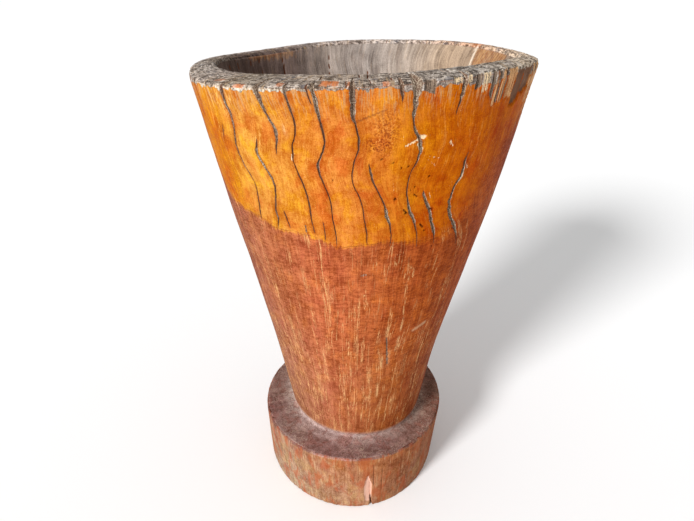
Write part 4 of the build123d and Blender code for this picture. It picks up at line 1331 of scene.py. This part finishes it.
    # inside the checks: reddish brown in the narrow ones and weathered on the walls of the wide ones; painted shade
    # darkens the deepest middle
    ck = k.attr("crack")
    wall = k.mix(k.ramp(k.add(k.mul(fine, .4), k.mul(grit, .6)), .45, .66), rgb(100, 78, 64), rgb(220, 202, 178))
    along = k.noise(k.scale(G, (1 / 30, 1 / 30, 1 / 9)), 3, .6)
    deep = k.mix(k.math("MULTIPLY", k.attr("pale"), k.ramp(along, .32, .50, .5, 1.25), clamp=True), rgb(112, 70, 50), wall)
    col = k.mix(k.ramp(k.add(ck, k.mul(k.math("SUBTRACT", grit, .5), .35)), .25, .6), col, deep)
    col = k.mix(k.mul(k.ramp(ck, .9, 1.0), k.ramp(mid, .45, .58), .35), col, rgb(70, 50, 38))
    col = k.mix(k.mul(k.attr("hole"), .9), col, rgb(74, 22, 8))

    rough = k.add(k.mul(greyness, .30), k.mul(k.math("SUBTRACT", fine, .5), .25), k.mul(ck, .25),
                  k.mul(k.attr("ledge"), .25), k.mul(k.attr("foot"), .12), k.mul(k.math("SUBTRACT", blot, .5), .2),
                  k.mul(sapness, -.06), .56)
    rough = k.math("MINIMUM", k.math("MAXIMUM", rough, .3), .95)

    height = k.add(k.mul(fine, .55), k.mul(mid, .7), k.mul(rip, .5), k.mul(pore, .2), k.mul(grit, .25),
                   k.mul(greyness, grit, 1.2), k.mul(greyness, fine, .9), k.mul(ring, k.attr("top"), .8))
    bump = k.node("ShaderNodeBump")
    bump.inputs["Strength"].default_value = .55
    bump.inputs["Distance"].default_value = .0012
    k.put(bump.inputs["Height"], height)

    bsdf = k.node("ShaderNodeBsdfPrincipled")
    k.put(bsdf.inputs["Base Color"], col)
    k.put(bsdf.inputs["Roughness"], rough)
    k.put(bsdf.inputs["Normal"], bump.outputs["Normal"])
    bsdf.inputs["Specular IOR Level"].default_value = .012
    out = k.node("ShaderNodeOutputMaterial")
    k.t.links.new(bsdf.outputs[0], out.inputs["Surface"])
    return mat


for ob, node, slot in ((heartwood, "heartwood", "heartwood"), (sapwood, "sapwood", "sapwood")):
    ob.data.materials.append(wood("mortar_" + slot))
    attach(ob, "root")
    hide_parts(node)

# ------------------------------------------------------------------ floor, light, camera
me = bpy.data.meshes.new("floor")
F = 90.0
me.from_pydata([(-F, -F, 0), (F, -F, 0), (F, F, 0), (-F, F, 0)], [], [(0, 1, 2, 3)])
floor = bpy.data.objects.new("floor", me)
bpy.context.scene.collection.objects.link(floor)
fm_ = bpy.data.materials.new("pale_floor")
fm_.use_nodes = True
b = fm_.node_tree.nodes["Principled BSDF"]
b.inputs["Base Color"].default_value = (.955, .955, .955, 1)
b.inputs["Roughness"].default_value = .9
b.inputs["Specular IOR Level"].default_value = .1
me.materials.append(fm_)

world = bpy.data.worlds.new("studio")
bpy.context.scene.world = world
world.use_nodes = True
world.node_tree.nodes["Background"].inputs["Color"].default_value = (1, 1, 1, 1)
world.node_tree.nodes["Background"].inputs["Strength"].default_value = .56


sun = bpy.data.lights.new("key", "SUN")
sun.energy = 3.8
sun.angle = math.radians(14)
key = bpy.data.objects.new("key", sun)
ka, ke = math.radians(229), math.radians(25.5)
key.location = (3 * math.cos(ke) * math.cos(ka), 3 * math.cos(ke) * math.sin(ka), 3 * math.sin(ke))
key.rotation_euler = (-key.location).to_track_quat("-Z", "Y").to_euler()
bpy.context.scene.collection.objects.link(key)

cam = bpy.data.cameras.new("view")
cam.sensor_width = 36.0
cam.lens = 504.55 / 694 * 36.0
cam.clip_start, cam.clip_end = .05, 400
view = bpy.data.objects.new("view", cam)
view.location = (0, -.64785, .70217)
right = Vector((.99980743, .01962392, 0)).normalized()
fwd = Vector((-.01730414, .88143053, -.47199659)).normalized()
right = (right - fwd * right.dot(fwd)).normalized()
up = right.cross(fwd)
from mathutils import Matrix
view.matrix_world = Matrix(((right.x, up.x, -fwd.x, view.location.x), (right.y, up.y, -fwd.y, view.location.y),
                            (right.z, up.z, -fwd.z, view.location.z), (0, 0, 0, 1)))
bpy.context.scene.collection.objects.link(view)
bpy.context.scene.camera = view
bpy.context.scene.view_settings.view_transform = "Standard"
bpy.context.scene.view_settings.look = "None"
